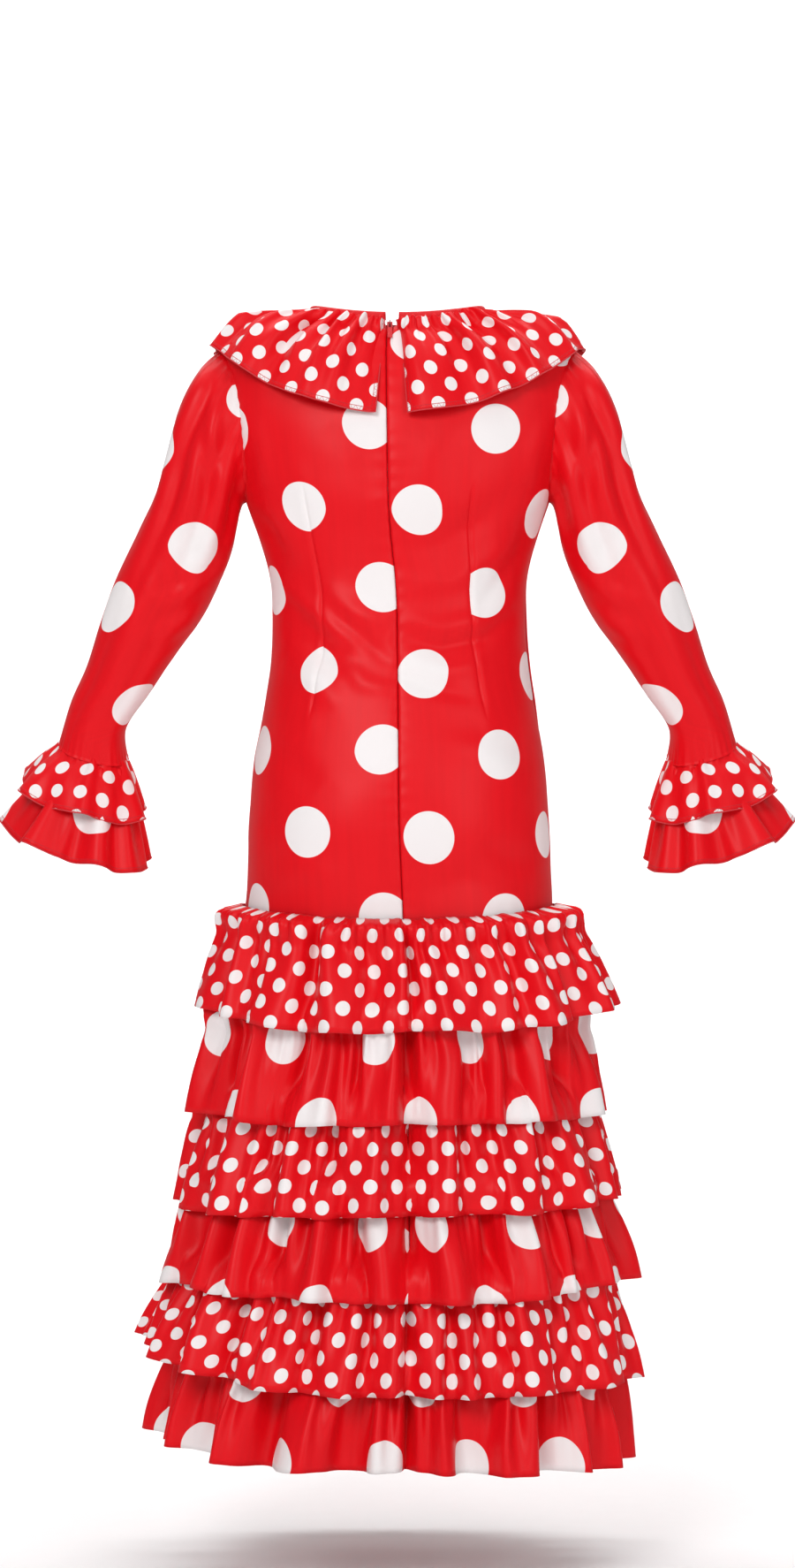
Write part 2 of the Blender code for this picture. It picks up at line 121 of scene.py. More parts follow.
def uneven_line(seed: int, count: int, share: Array) -> Array:
    """A smooth random line between -1 and 1 that repeats every 1.

    Args:
        seed: Which line.
        count: How many turning points it has.
        share: The places to find it at.

    Returns:
        The line's height at each place.
    """
    values = np.random.default_rng(seed).uniform(-1, 1, count)
    place = np.asarray(share) * count
    index = np.floor(place).astype(int)
    blend = place - index
    blend = blend * blend * (3 - 2 * blend)
    return values[index % count] * (1 - blend) + values[(index + 1) % count] * blend


def uneven_field(seed: int, x: Array, y: Array, size: float) -> Array:
    """A smooth random surface between -1 and 1, with bumps about as wide as size.

    Args:
        seed: Which surface.
        x: Places along it.
        y: Places across it.
        size: The width of a bump, in the unit of x and y.

    Returns:
        The surface's height at each place.
    """
    values = np.random.default_rng(seed).uniform(-1, 1, (64, 64))
    px, py = np.asarray(x) / size + 1000, np.asarray(y) / size + 1000
    i, j = np.floor(px).astype(int), np.floor(py).astype(int)
    fx, fy = px - i, py - j
    fx, fy = fx * fx * (3 - 2 * fx), fy * fy * (3 - 2 * fy)
    low = values[i % 64, j % 64] * (1 - fx) + values[(i + 1) % 64, j % 64] * fx
    high = values[i % 64, (j + 1) % 64] * (1 - fx) + values[(i + 1) % 64, (j + 1) % 64] * fx
    return low * (1 - fy) + high * fy


def fold_phase(seed: int, count: int, share: Array, spread: float = 0.35) -> Array:
    """The phase, in radians, of folds of uneven width: each whole turn is one fold.

    Args:
        seed: Which folds.
        count: How many there are from share 0 to 1.
        share: The places to find it at.
        spread: How uneven the widths are, from 0.

    Returns:
        The phase at each place.
    """
    widths = 1 + spread * np.random.default_rng(seed).uniform(-1, 1, count)
    edges = np.concatenate([[0], np.cumsum(widths)]) / widths.sum()
    return 2 * math.pi * np.interp(share, edges, np.arange(count + 1))


def crowded(count: int, crowding: float = 0.8) -> Array:
    """Shares from 0 to 1, closer together at both ends.

    Args:
        count: How many steps.
        crowding: How much closer, from 0 to under 1.

    Returns:
        The shares.
    """
    even = np.linspace(0, 1, count + 1)
    return even - crowding * np.sin(2 * math.pi * even) / (2 * math.pi)


def outward(points: Array, closed: bool) -> Array:
    """Unit normals of a grid whose rows run down and whose columns run round from the back to the left.

    Args:
        points: The grid, rows by columns by 3.
        closed: Whether the last column meets the first.

    Returns:
        One normal for each point.
    """
    if closed:
        across = np.roll(points, -1, axis=1) - np.roll(points, 1, axis=1)
    else:
        across = np.gradient(points, axis=1)
    normal = np.cross(across, np.gradient(points, axis=0))
    return normal / np.maximum(np.linalg.norm(normal, axis=2, keepdims=True), 1e-12)


def girths(points: Array) -> Array:
    """Lengths round a tube's rings, square to its columns, so that a slanting ring counts as a straight one.

    Args:
        points: The tube's points, whose last column meets its first.

    Returns:
        The running lengths, rows by columns.
    """
    down = np.gradient(points, axis=0)
    down /= np.linalg.norm(down, axis=2, keepdims=True)
    step = np.diff(points, axis=1)
    step -= (step * down[:, 1:]).sum(axis=2, keepdims=True) * down[:, 1:]
    run = np.cumsum(np.linalg.norm(step, axis=2), axis=1)
    return np.concatenate([np.zeros((len(points), 1)), run], axis=1)


def run_lengths(points: Array, axis: int) -> Array:
    """Lengths along a grid of points, from its first row or column.

    Args:
        points: The grid, rows by columns by 3.
        axis: 0 to go down the columns, 1 to go along the rows.

    Returns:
        The length at each point.
    """
    steps = np.linalg.norm(np.diff(points, axis=axis), axis=2)
    start = np.zeros_like(np.take(steps, [0], axis=axis))
    return np.concatenate([start, np.cumsum(steps, axis=axis)], axis=axis)


def paired(a: Array, b: Array) -> Array:
    """One grid of pairs from two grids, or from a row and a column."""
    return np.stack(np.broadcast_arrays(a, b), axis=2)


def section(angle: Array, sizes: tuple | list | Array) -> Array:
    """Points round a section of the body, a little squarer than an ellipse.

    Args:
        angle: Angle of each point from the centre back towards the wearer's left.
        sizes: Its half_width, back, front, z_back, z_side and z_front.

    Returns:
        The points, of the angle's shape by 3.
    """
    half_width, back, front, z_back, z_side, z_front = sizes
    s, c = np.sin(angle), np.cos(angle)
    x = half_width * s * (1 + FULLNESS * c * c)
    y = np.where(c > 0, back, front) * c * (1 + FULLNESS * s * s)
    return np.stack([x, y, z_side * s * s + np.where(c > 0, z_back, z_front) * c * c], axis=-1)


def open_rings(rows: Array, count: int) -> Array:
    """Rings round the neck, open at the centre back, from their left end round to their right one.

    Args:
        rows: half_width, back, front, z_back, z_side, z_front, left_end_x and right_end_x of each ring.
        count: How many steps each has.

    Returns:
        The points, rings by steps by 3.
    """
    *sizes, left, right = rows.T[..., None]
    reach = sizes[0] * (1 + FULLNESS)
    start, end = np.arcsin(left / reach), 2 * math.pi + np.arcsin(right / reach)
    return section(start + (end - start) * np.arange(count + 1)[None, :] / count, sizes)


# The form that the body panels and the tiers' seams lie on.


@dataclass(frozen=True)
class DressForm:
    """The outer surface of the body, by sections from the base's lower edge up to the neck.

    A section is half_width, back, front, z_back, z_side, z_front, shift_x and seam_x, as in the CAD solids.
    """

    sections: tuple = (
        (0.1740, 0.138, 0.132, -0.900, -0.900, -0.900, 0.0000, -0.0110),
        (0.1620, 0.129, 0.124, -0.790, -0.790, -0.790, 0.0000, -0.0100),
        (0.1460, 0.116, 0.111, -0.655, -0.655, -0.655, 0.0000, -0.0080),
        (0.1320, 0.103, 0.097, -0.520, -0.511, -0.515, -0.0010, -0.0046),
        (0.1293, 0.107, 0.093, -0.443, -0.443, -0.443, -0.0014, -0.0015),
        (0.1247, 0.102, 0.092, -0.392, -0.392, -0.392, -0.0017, -0.0008),
        (0.1168, 0.090, 0.090, -0.340, -0.340, -0.340, -0.0019, -0.0005),
        (0.1110, 0.081, 0.087, -0.300, -0.300, -0.300, -0.0019, 0.0000),
        (0.1092, 0.077, 0.085, -0.262, -0.262, -0.262, -0.0014, 0.0005),
        (0.1112, 0.077, 0.088, -0.228, -0.228, -0.228, -0.0011, 0.0025),
        (0.1200, 0.080, 0.094, -0.195, -0.195, -0.195, -0.0005, 0.0060),
        (0.1306, 0.085, 0.098, -0.163, -0.163, -0.163, 0.0000, 0.0080),
        (0.1500, 0.083, 0.092, -0.105, -0.105, -0.112, 0.0000, 0.0090),
        (0.1590, 0.072, 0.080, -0.060, -0.062, -0.080, 0.0000, 0.0095),
        (0.1510, 0.062, 0.071, -0.036, -0.034, -0.064, 0.0000, 0.0095),
        (0.1120, 0.054, 0.065, -0.0225, -0.017, -0.056, 0.0000, 0.0080),
        (0.0755, 0.046, 0.060, -0.0145, -0.006, -0.050, 0.0000, 0.0045),
    )
    hip: int = 3
    armpit: int = 11
    shoulder_tip: int = 14
    neck: int = 16
    armhole_half_angle: float = math.radians(32)
    measuring_angle: float = 0.6  # where heights and lengths of a back panel are read
    side_gap: float = 0.002  # half of the angle between the back's and the front's edges

    def rows(self, place: Array) -> Array:
        """The sections at places between the listed ones."""
        return along_table(np.array(self.sections), place)

    def point(self, place: Array, angle: Array) -> Array:
        """Points on the form.

        Args:
            place: Place among the sections, of any shape.
            angle: Angle from the centre back towards the wearer's left, of the same shape.

        Returns:
            The points, of that shape by 3.
        """
        row = np.moveaxis(self.rows(place), -1, 0)
        points = section(angle, row[:6])
        points[..., 0] += row[6]
        return points

    def angle_at(self, place: Array, x: Array) -> Array:
        """The angle on the back at which the form is at x, found by closing in on it.

        Args:
            place: Place among the sections.
            x: Distance to the wearer's left, of the same shape.

        Returns:
            The angle from the centre back.
        """
        row = self.rows(place)
        s = (x - row[..., 6]) / row[..., 0]
        target = s.copy()
        for _ in range(12):
            s = target / (1 + FULLNESS * (1 - np.clip(s, -1, 1) ** 2))
        return np.arcsin(np.clip(s, -1, 1))

    def seam_x(self, place: Array) -> Array:
        """Where the centre back seam lies."""
        return self.rows(place)[..., 7]

    def place_at_z(self, z: float) -> float:
        """The place under the armpit whose side is at height z."""
        places = np.linspace(0, self.armpit, 800)
        return float(np.interp(z, self.rows(places)[:, 4], places))

    def side_angle(self, place: Array) -> Array:
        """How far from the centre a panel reaches: to its side seam, armhole or shoulder seam.

        Args:
            place: Place among the sections.

        Returns:
            The angle from the centre back or the centre front.
        """
        share = (place - self.armpit) / (self.shoulder_tip - self.armpit)
        opening = self.armhole_half_angle * 2 * np.sqrt(np.clip(share * (1 - share), 0, 1))
        return QUARTER - np.maximum(opening, self.side_gap)

    def panel_places(self, spacing: float, base_spacing: float) -> Array:
        """Places of a panel's rows from the neck down.

        Args:
            spacing: Distance between rows above the tiers.
            base_spacing: Distance between rows under them.

        Returns:
            The places.
        """
        fine = np.linspace(self.neck, 0, 1600)
        length = run_lengths(self.point(fine, np.full_like(fine, self.measuring_angle))[:, None], 0)[:, 0]
        hip_length = float(np.interp(-self.hip, -fine, length))
        above = np.linspace(0, hip_length, int(hip_length / spacing) + 1)
        below = np.linspace(hip_length, length[-1], int((length[-1] - hip_length) / base_spacing) + 1)[1:]
        return np.interp(np.concatenate([above, below]), length, fine)

    def armhole(self, turns: Array, inset: float = -0.012) -> Array:
        """The armhole's edge, from the armpit round by the back, a little outside it under the body's edge.

        Args:
            turns: How far round, in radians.
            inset: The share by which it is smaller than the hole.

        Returns:
            A point for each turn.
        """
        share = 0.5 - 0.5 * (1 - inset) * np.cos(turns)
        opening = self.armhole_half_angle * (1 - inset) * np.sin(turns)
        place = self.armpit + (self.shoulder_tip - self.armpit) * share
        return self.point(place, QUARTER - opening)


FORM = DressForm()


# Shader building.

Value = float | tuple | Socket


class Graph:
    """Adds nodes to a material or a node group, and links them."""

    def __init__(self, tree: NodeTree) -> None:
        """Starts on a tree.

        Args:
            tree: The node tree to add to.
        """
        self.tree = tree

    def put(self, socket: Socket, value: Value) -> None:
        """Links a socket to another one, or sets its value.

        Args:
            socket: The input.
            value: An output to link it to, or its value.
        """
        if isinstance(value, Socket):
            self.tree.links.new(value, socket)
        else:
            socket.default_value = value

    def node(self, kind: str, inputs: dict | None = None, **settings: object) -> Node:
        """Adds a node.

        Args:
            kind: Blender's name of the node type, without ShaderNode.
            inputs: Values or sockets by input name or number.
            settings: Attributes of the node.

        Returns:
            The node.
        """
        node = self.tree.nodes.new("ShaderNode" + kind)
        for name, setting in settings.items():
            setattr(node, name, setting)
        for key, value in (inputs or {}).items():
            self.put(node.inputs[key], value)
        return node

    def math(self, operation: str, a: Value, b: Value = 0.0, c: Value = 0.0, clamp: bool = False) -> Socket:
        """One Math node's result."""
        return self.node("Math", {0: a, 1: b, 2: c}, operation=operation, use_clamp=clamp).outputs[0]

    def mix(self, factor: Value, a: Value, b: Value) -> Socket:
        """Two colours mixed."""
        return self.node("Mix", {0: factor, 6: a, 7: b}, data_type="RGBA").outputs[2]

    def noise(self, vector: Socket, scale: float, detail: float = 2.0, roughness: float = 0.5) -> Socket:
        """A noise texture's value."""
        inputs = {"Vector": vector, "Scale": scale, "Detail": detail, "Roughness": roughness}
        return self.node("TexNoise", inputs).outputs["Fac"]

    def ramp(self, value: Value, low: float, high: float) -> Socket:
        """A smooth rise.

        Args:
            value: What it goes by.
            low: Where it is 0.
            high: Where it is 1.

        Returns:
            The height.
        """
        node = self.node("MapRange", {0: value, 1: low, 2: high, 3: 0.0, 4: 1.0})
        node.interpolation_type = "SMOOTHSTEP"
        return node.outputs[0]

    def times(self, a: Value, b: Value) -> Socket:
        """Two values multiplied."""
        return self.math("MULTIPLY", a, b)

    def plus(self, a: Value, b: Value) -> Socket:
        """Two values added."""
        return self.math("ADD", a, b)

    def line(self, value: Value, slope: float, start: Value) -> Socket:
        """The value times a slope, plus a start."""
        return self.plus(self.times(value, slope), start)

    def stretched(self, x: Socket, y: Socket, by_x: float, by_y: float) -> Socket:
        """A vector of X and Y, each times its own number."""
        parts = {0: self.times(x, by_x), 1: self.times(y, by_y)}
        return self.node("CombineXYZ", parts).outputs[0]

    def apart(self, vector: Socket) -> tuple[Socket, Socket]:
        """A vector's X and Y."""
        node = self.node("SeparateXYZ", {0: vector})
        return node.outputs[0], node.outputs[1]


def shader_group(name: str, inputs: dict[str, float | str], outputs: tuple[str, ...]) -> tuple:
    """Makes an empty node group.

    Args:
        name: The group's name.
        inputs: Default of each number input, or "vector" for a vector input.
        outputs: Names of the number outputs.

    Returns:
        The group, its Graph, its input node and its output node.
    """
    group = bpy.data.node_groups.new(name, "ShaderNodeTree")
    for key, value in inputs.items():
        kind = "NodeSocketVector" if value == "vector" else "NodeSocketFloat"
        socket = group.interface.new_socket(key, in_out="INPUT", socket_type=kind)
        if value != "vector":
            socket.default_value = value
    for key in outputs:
        group.interface.new_socket(key, in_out="OUTPUT", socket_type="NodeSocketFloat")
    start, end = group.nodes.new("NodeGroupInput"), group.nodes.new("NodeGroupOutput")
    return group, Graph(group), start, end


def dot_lattice_group() -> NodeTree:
    """Round printed dots in staggered rows.

    Returns:
        The group: it takes flat cloth coordinates in metres and gives 1 inside a dot.
    """
    sizes = {"Half Step X": 0.064, "Half Step Y": 0.0695, "Radius": 0.0213, "Softness": 0.0003}
    group, graph, start, end = shader_group("Dot lattice", {"Cloth": "vector", **sizes}, ("Dot",))
    x, y = graph.apart(start.outputs["Cloth"])
    step_x, step_y = start.outputs["Half Step X"], start.outputs["Half Step Y"]
    distances = []
    for shift in (0.0, 1.0):
        parts = []
        for value, step in ((x, step_x), (y, step_y)):
            moved = graph.plus(value, graph.times(step, shift))
            parts.append(graph.math("WRAP", moved, step, graph.times(step, -1.0)))
        square = graph.plus(graph.math("POWER", parts[0], 2.0), graph.math("POWER", parts[1], 2.0))
        distances.append(graph.math("SQRT", square))
    nearest = graph.math("MINIMUM", *distances)
    inside = graph.math("SUBTRACT", start.outputs["Radius"], nearest)
    scaled = graph.math("DIVIDE", inside, start.outputs["Softness"])
    graph.put(end.inputs["Dot"], graph.ramp(scaled, -1.0, 1.0))
    return group


def satin_weave_group() -> NodeTree:
    """Satin's floating threads: fine ribs along the cloth, broken up, with a few thicker threads.

    Returns:
        The group: it takes flat cloth coordinates and gives a height and a tint, both about 0.5.
    """
    inputs = {"Cloth": "vector", "Threads per Metre": 2400.0}
    group, graph, start, end = shader_group("Satin weave", inputs, ("Height", "Tint"))
    x, y = graph.apart(start.outputs["Cloth"])
    pitch = start.outputs["Threads per Metre"]
    lean = graph.plus(x, graph.times(y, 0.22))
    rib = graph.math("PINGPONG", graph.times(lean, pitch), 1.0)
    thread = graph.noise(graph.stretched(x, y, 900.0, 60.0), 1.0, 1.0)
    graph.put(end.inputs["Height"], graph.line(rib, 0.5, thread))
    graph.put(end.inputs["Tint"], graph.noise(graph.stretched(x, y, 160.0, 11.0), 1.0, 3.0))
    return group


def crumple_group() -> NodeTree:
    """Small soft creases that stay in a light satin.

    Returns:
        The group: it takes object coordinates and gives a height about 0.5.
    """
    group, graph, start, end = shader_group("Crumple", {"Place": "vector", "Size": 0.03}, ("Height",))
    scale = graph.math("DIVIDE", 1.0, start.outputs["Size"])
    inputs = {"Vector": start.outputs["Place"], "Scale": scale, "Detail": 2.0, "Distortion": 0.6}
    broad = graph.node("TexNoise", inputs).outputs["Fac"]
    ridge = graph.math("ABSOLUTE", graph.math("SUBTRACT", broad, 0.5))
    graph.put(end.inputs["Height"], graph.plus(broad, graph.times(ridge, -0.8)))
    return group


def overlock_group() -> NodeTree:
    """Overlock stitches over a cut edge: a zigzag between two lines of thread.

    Returns:
        The group: it takes (length along the edge, distance from it) in metres and gives 1 on a thread.
    """
    inputs = {"Edge": "vector", "Stitch": 0.0026, "Reach": 0.0042, "Thread": 0.00042}
    group, graph, start, end = shader_group("Overlock stitch", inputs, ("Thread", "Band"))
    along, away = graph.apart(start.outputs["Edge"])
    stitch, reach, thread = (start.outputs[key] for key in ("Stitch", "Reach", "Thread"))
    swing = graph.math("DIVIDE", graph.math("PINGPONG", along, stitch), stitch)
    zigzag = graph.times(swing, reach)
    lines = [zigzag, graph.times(reach, 0.93), graph.times(reach, 0.1)]
    masks = []
    for line in lines:
        gap = graph.math("ABSOLUTE", graph.math("SUBTRACT", away, line))
        masks.append(graph.ramp(graph.math("DIVIDE", gap, thread), 1.0, 0.45))
    every = graph.math("MAXIMUM", graph.math("MAXIMUM", masks[0], masks[1]), masks[2])
    band = graph.math("LESS_THAN", away, graph.times(reach, 1.12))
    graph.put(end.inputs["Thread"], graph.times(every, band))
    graph.put(end.inputs["Band"], band)
    return group


class Effect(Enum):
    """The shader effects that more than one material uses."""

    DOTS = "Dot lattice"
    WEAVE = "Satin weave"
    CRUMPLE = "Crumple"
    OVERLOCK = "Overlock stitch"


def build_effects() -> None:
    """Makes every shader node group once."""
    for make in (dot_lattice_group, satin_weave_group, crumple_group, overlock_group):
        make()


def effect(graph: Graph, which: Effect, inputs: dict[str, Value]) -> Node:
    """Places a node group in a material.

    Args:
        graph: The material's graph.
        which: The effect.
        inputs: Values or sockets by input name.

    Returns:
        The group node.
    """
    node = graph.tree.nodes.new("ShaderNodeGroup")
    node.node_tree = bpy.data.node_groups[which.value]
    for key, value in inputs.items():
        graph.put(node.inputs[key], value)
    return node


def relief(graph: Graph, shader: Node, height: Socket, strength: float, distance: float) -> None:
    """Gives a shader a bump.

    Args:
        graph: The material's graph.
        shader: Its Principled node.
        height: The height of the relief.
        strength: How much of it shows.
        distance: The depth of a height of 1.
    """
    bump = graph.node("Bump", {"Strength": strength, "Distance": distance, "Height": height})
    graph.put(shader.inputs["Normal"], bump.outputs[0])


def new_material(name: str) -> tuple[Material, Graph, Node]:
    """Makes a material.

    Args:
        name: The material's name.

    Returns:
        The material, its Graph and its Principled node.
    """
    material = bpy.data.materials.new(name)
    material.use_nodes = True
    return material, Graph(material.node_tree), material.node_tree.nodes["Principled BSDF"]


@dataclass(frozen=True)
class DotPrint:
    """A printed dot pattern.

    Attributes:
        half_step_x: Half of the step between the dots of one row.
        half_step_y: Half of the step between the dots of one column.
        radius: The dots' radius.
        softness: Half the width of a dot's blurred edge.
    """

    half_step_x: float
    half_step_y: float
    radius: float
    softness: float


LARGE_DOTS = DotPrint(0.0640, 0.0695, 0.0213, 0.0003)
SMALL_DOTS = DotPrint(0.0157, 0.0157, 0.0061, 0.00022)


@dataclass(frozen=True)
class Satin:
    """Light polyester satin, printed with dots or plain.

    Attributes:
        name: The material's name.
        ground: The cloth's colour, linear.
        dots: The print, or None for plain cloth.
        roughness: How dull its sheen is.
        reverse: Whether this is the wrong side, where the print shows through only faintly.
        stitched: Whether the piece has an "Edge" map with overlock stitches along it.
    """

    name: str
    ground: tuple
    dots: DotPrint | None
    roughness: float
    reverse: bool = False
    stitched: bool = False

    DOT_WHITE = (0.90, 0.85, 0.85, 1.0)
    DOT_REVERSE = (0.86, 0.30, 0.30, 1.0)
    STITCH_RED = (0.60, 0.016, 0.024, 1.0)
    REVERSE_DULLING = 0.16
    STITCH_COVER = 0.85
    # How much of the relief comes from the weave, the crumpling and the stitches.
    WEAVE_RELIEF, CRUMPLE_RELIEF, STITCH_RELIEF = 0.10, 1.2, 1.3
    SURFACE = {"Specular IOR Level": 0.20, "Sheen Weight": 0.035, "Sheen Roughness": 0.4}
    SHEEN_TINT = (1.0, 0.55, 0.55, 1.0)

    def build(self) -> Material:
        """Makes the material."""
        material, graph, shader = new_material(self.name)
        cloth = graph.node("UVMap", uv_map="Cloth").outputs[0]
        place = graph.node("TexCoord").outputs["Object"]
        weave = effect(graph, Effect.WEAVE, {"Cloth": cloth})
        tint = graph.ramp(weave.outputs["Tint"], 0.25, 0.75)
        colour = graph.mix(tint, scaled(self.ground, 0.975), scaled(self.ground, 1.02))
        if self.dots:
            white = self.DOT_REVERSE if self.reverse else self.DOT_WHITE
            colour = graph.mix(self.dot_mask(graph, cloth), colour, white)
        height = graph.times(weave.outputs["Height"], self.WEAVE_RELIEF)
        crumple = effect(graph, Effect.CRUMPLE, {"Place": place, "Size": 0.030}).outputs[0]
        height = graph.plus(height, graph.times(crumple, self.CRUMPLE_RELIEF))
        if self.stitched:
            edge = graph.node("UVMap", uv_map="Edge").outputs[0]
            stitch = effect(graph, Effect.OVERLOCK, {"Edge": edge})
            thread = stitch.outputs["Thread"]
            colour = graph.mix(graph.times(thread, self.STITCH_COVER), colour, self.STITCH_RED)
            height = graph.plus(height, graph.times(thread, self.STITCH_RELIEF))
        graph.put(shader.inputs["Base Color"], colour)
        dullest = self.roughness - 0.015 + (self.REVERSE_DULLING if self.reverse else 0.0)
        graph.put(shader.inputs["Roughness"], graph.line(weave.outputs["Tint"], 0.03, dullest))
        relief(graph, shader, height, 0.35, 0.0006)
        for name, value in self.SURFACE.items():
            shader.inputs[name].default_value = value
        shader.inputs["Sheen Tint"].default_value = self.SHEEN_TINT
        return material

    def dot_mask(self, graph: Graph, cloth: Socket) -> Socket:
        """The print's mask on the cloth.

        Args:
            graph: The material's graph.
            cloth: The flat cloth coordinates.

        Returns:
            1 inside a dot and 0 outside.
        """
        inputs = {
            "Cloth": cloth,
            "Half Step X": self.dots.half_step_x,
            "Half Step Y": self.dots.half_step_y,
            "Radius": self.dots.radius,
            "Softness": self.dots.softness,
        }
        return effect(graph, Effect.DOTS, inputs).outputs[0]


def scaled(colour: tuple, by: float) -> tuple:
    """The colour, lighter or darker."""
    return (colour[0] * by, colour[1] * by, colour[2] * by, 1.0)


@dataclass(frozen=True)
class Enamel:
    """Red enamel on the zip's metal, worn to bare metal on a few high places.

    Attributes:
        name: The material's name.
        colour: The enamel's colour, linear. The slider's is darker than the tab's as painted shade.
    """

    name: str
    colour: tuple

    BARE_METAL = (0.62, 0.50, 0.44, 1.0)

    def build(self) -> Material:
        """Makes the material."""
        material, graph, shader = new_material(self.name)
        place = graph.node("TexCoord").outputs["Object"]
        wear = graph.ramp(graph.noise(place, 900.0, 3.0), 0.66, 0.74)
        speck = graph.noise(place, 4200.0, 1.0)
        colour = graph.mix(speck, scaled(self.colour, 0.85), scaled(self.colour, 1.1))
        graph.put(shader.inputs["Base Color"], graph.mix(wear, colour, self.BARE_METAL))
        graph.put(shader.inputs["Metallic"], graph.line(wear, 0.8, 0.15))
        graph.put(shader.inputs["Roughness"], graph.line(speck, 0.15, 0.25))
        relief(graph, shader, speck, 0.2, 0.0001)
        return material


@dataclass(frozen=True)
class WovenTape:
    """The zip's tape: a close woven herringbone.

    Attributes:
        name: The material's name.
        colour: The tape's colour, linear.
        pitch: Width of one rib.
    """

    name: str
    colour: tuple
    pitch: float = 0.0011

    def build(self) -> Material:
        """Makes the material."""
        material, graph, shader = new_material(self.name)
        place = graph.node("TexCoord").outputs["Object"]
        parts = graph.node("SeparateXYZ", {0: place})
        across, up = parts.outputs[0], parts.outputs[2]
        zigzag = graph.math("PINGPONG", across, self.pitch * 2.5)
        rib = graph.math("PINGPONG", graph.plus(up, zigzag), self.pitch / 2)
        level = graph.math("DIVIDE", rib, self.pitch / 2)
        colour = graph.mix(level, scaled(self.colour, 0.6), scaled(self.colour, 1.15))
        graph.put(shader.inputs["Base Color"], colour)
        fuzz = graph.noise(place, 2500.0, 2.0)
        graph.put(shader.inputs["Roughness"], graph.line(fuzz, 0.15, 0.7))
        relief(graph, shader, level, 0.5, 0.0002)
        return material


@dataclass(frozen=True)
class Thread:
    """Twisted polyester thread, or the zip's nylon coil when smooth.

    Attributes:
        name: The material's name.
        colour: The thread's colour, linear.
        roughness: How dull it is.
    """

    name: str
    colour: tuple
    roughness: float

    def build(self) -> Material:
        """Makes the material."""
        material, graph, shader = new_material(self.name)
        place = graph.node("TexCoord").outputs["Object"]
        twist = graph.noise(place, 1400.0, 2.0)
        colour = graph.mix(twist, scaled(self.colour, 0.7), scaled(self.colour, 1.15))
        graph.put(shader.inputs["Base Color"], colour)
        graph.put(shader.inputs["Roughness"], graph.line(twist, 0.1, self.roughness))
        relief(graph, shader, twist, 0.6, 0.0002)
        return material


@dataclass(frozen=True)
class StudioPaper:
    """The pale floor and backdrop, which is clear from behind so that the dress shows from its front too.

    Attributes:
        name: The material's name.
    """

    name: str

    DARKER = (0.90, 0.90, 0.90, 1.0)
    PALER = (0.92, 0.92, 0.92, 1.0)
    MIRRORED = (0.16, 0.15, 0.15, 1.0)  # as the satin's shine sees it

    def build(self) -> Material:
        """Makes the material."""
        material, graph, shader = new_material(self.name)
        place = graph.node("TexCoord").outputs["Object"]
        grain = graph.noise(place, 60.0, 3.0)
        paper = graph.mix(grain, self.DARKER, self.PALER)
        mirrored = graph.node("LightPath").outputs["Is Glossy Ray"]
        graph.put(shader.inputs["Base Color"], graph.mix(mirrored, paper, self.MIRRORED))
        behind = graph.node("NewGeometry").outputs["Backfacing"]
        graph.put(shader.inputs["Alpha"], graph.math("SUBTRACT", 1.0, behind))
        shader.inputs["Roughness"].default_value = 0.9
        shader.inputs["Specular IOR Level"].default_value = 0.1
        return material


RED = (0.79, 0.0025, 0.0085)
RED_REVERSE = (0.60, 0.030, 0.040)


class Wardrobe:
    """All the finishes, each made once."""

    def __init__(self) -> None:
        """Makes the materials."""
        finishes = (
            Satin("large_dot_satin", RED, LARGE_DOTS, 0.42),
            Satin("small_dot_satin", RED, SMALL_DOTS, 0.43),
            Satin("large_dot_stitched", RED, LARGE_DOTS, 0.42, stitched=True),
            Satin("small_dot_stitched", RED, SMALL_DOTS, 0.43, stitched=True),
            Satin("large_dot_reverse", RED_REVERSE, LARGE_DOTS, 0.5, reverse=True),
            Satin("small_dot_reverse", RED_REVERSE, SMALL_DOTS, 0.5, reverse=True),
            Satin("binding_satin", (0.70, 0.009, 0.015), None, 0.40),
            WovenTape("zip_tape_weave", (0.45, 0.010, 0.014)),
            Thread("coil_nylon", (0.30, 0.006, 0.010), 0.35),
            Thread("edge_thread", (0.72, 0.030, 0.040), 0.6),
            # The slider's enamel is a darker red than the tab's: painted shade for the shadow that the
            # slider sits in.
            Enamel("slider_enamel_painted_shade", (0.30, 0.012, 0.016)),
            Enamel("tab_enamel", (0.70, 0.022, 0.030)),
            StudioPaper("studio_paper"),
        )
        self.materials = {finish.name: finish.build() for finish in finishes}

    def __getitem__(self, name: str) -> Material:
        """The material of that name."""
        return self.materials[name]


# Making a piece from its grid.


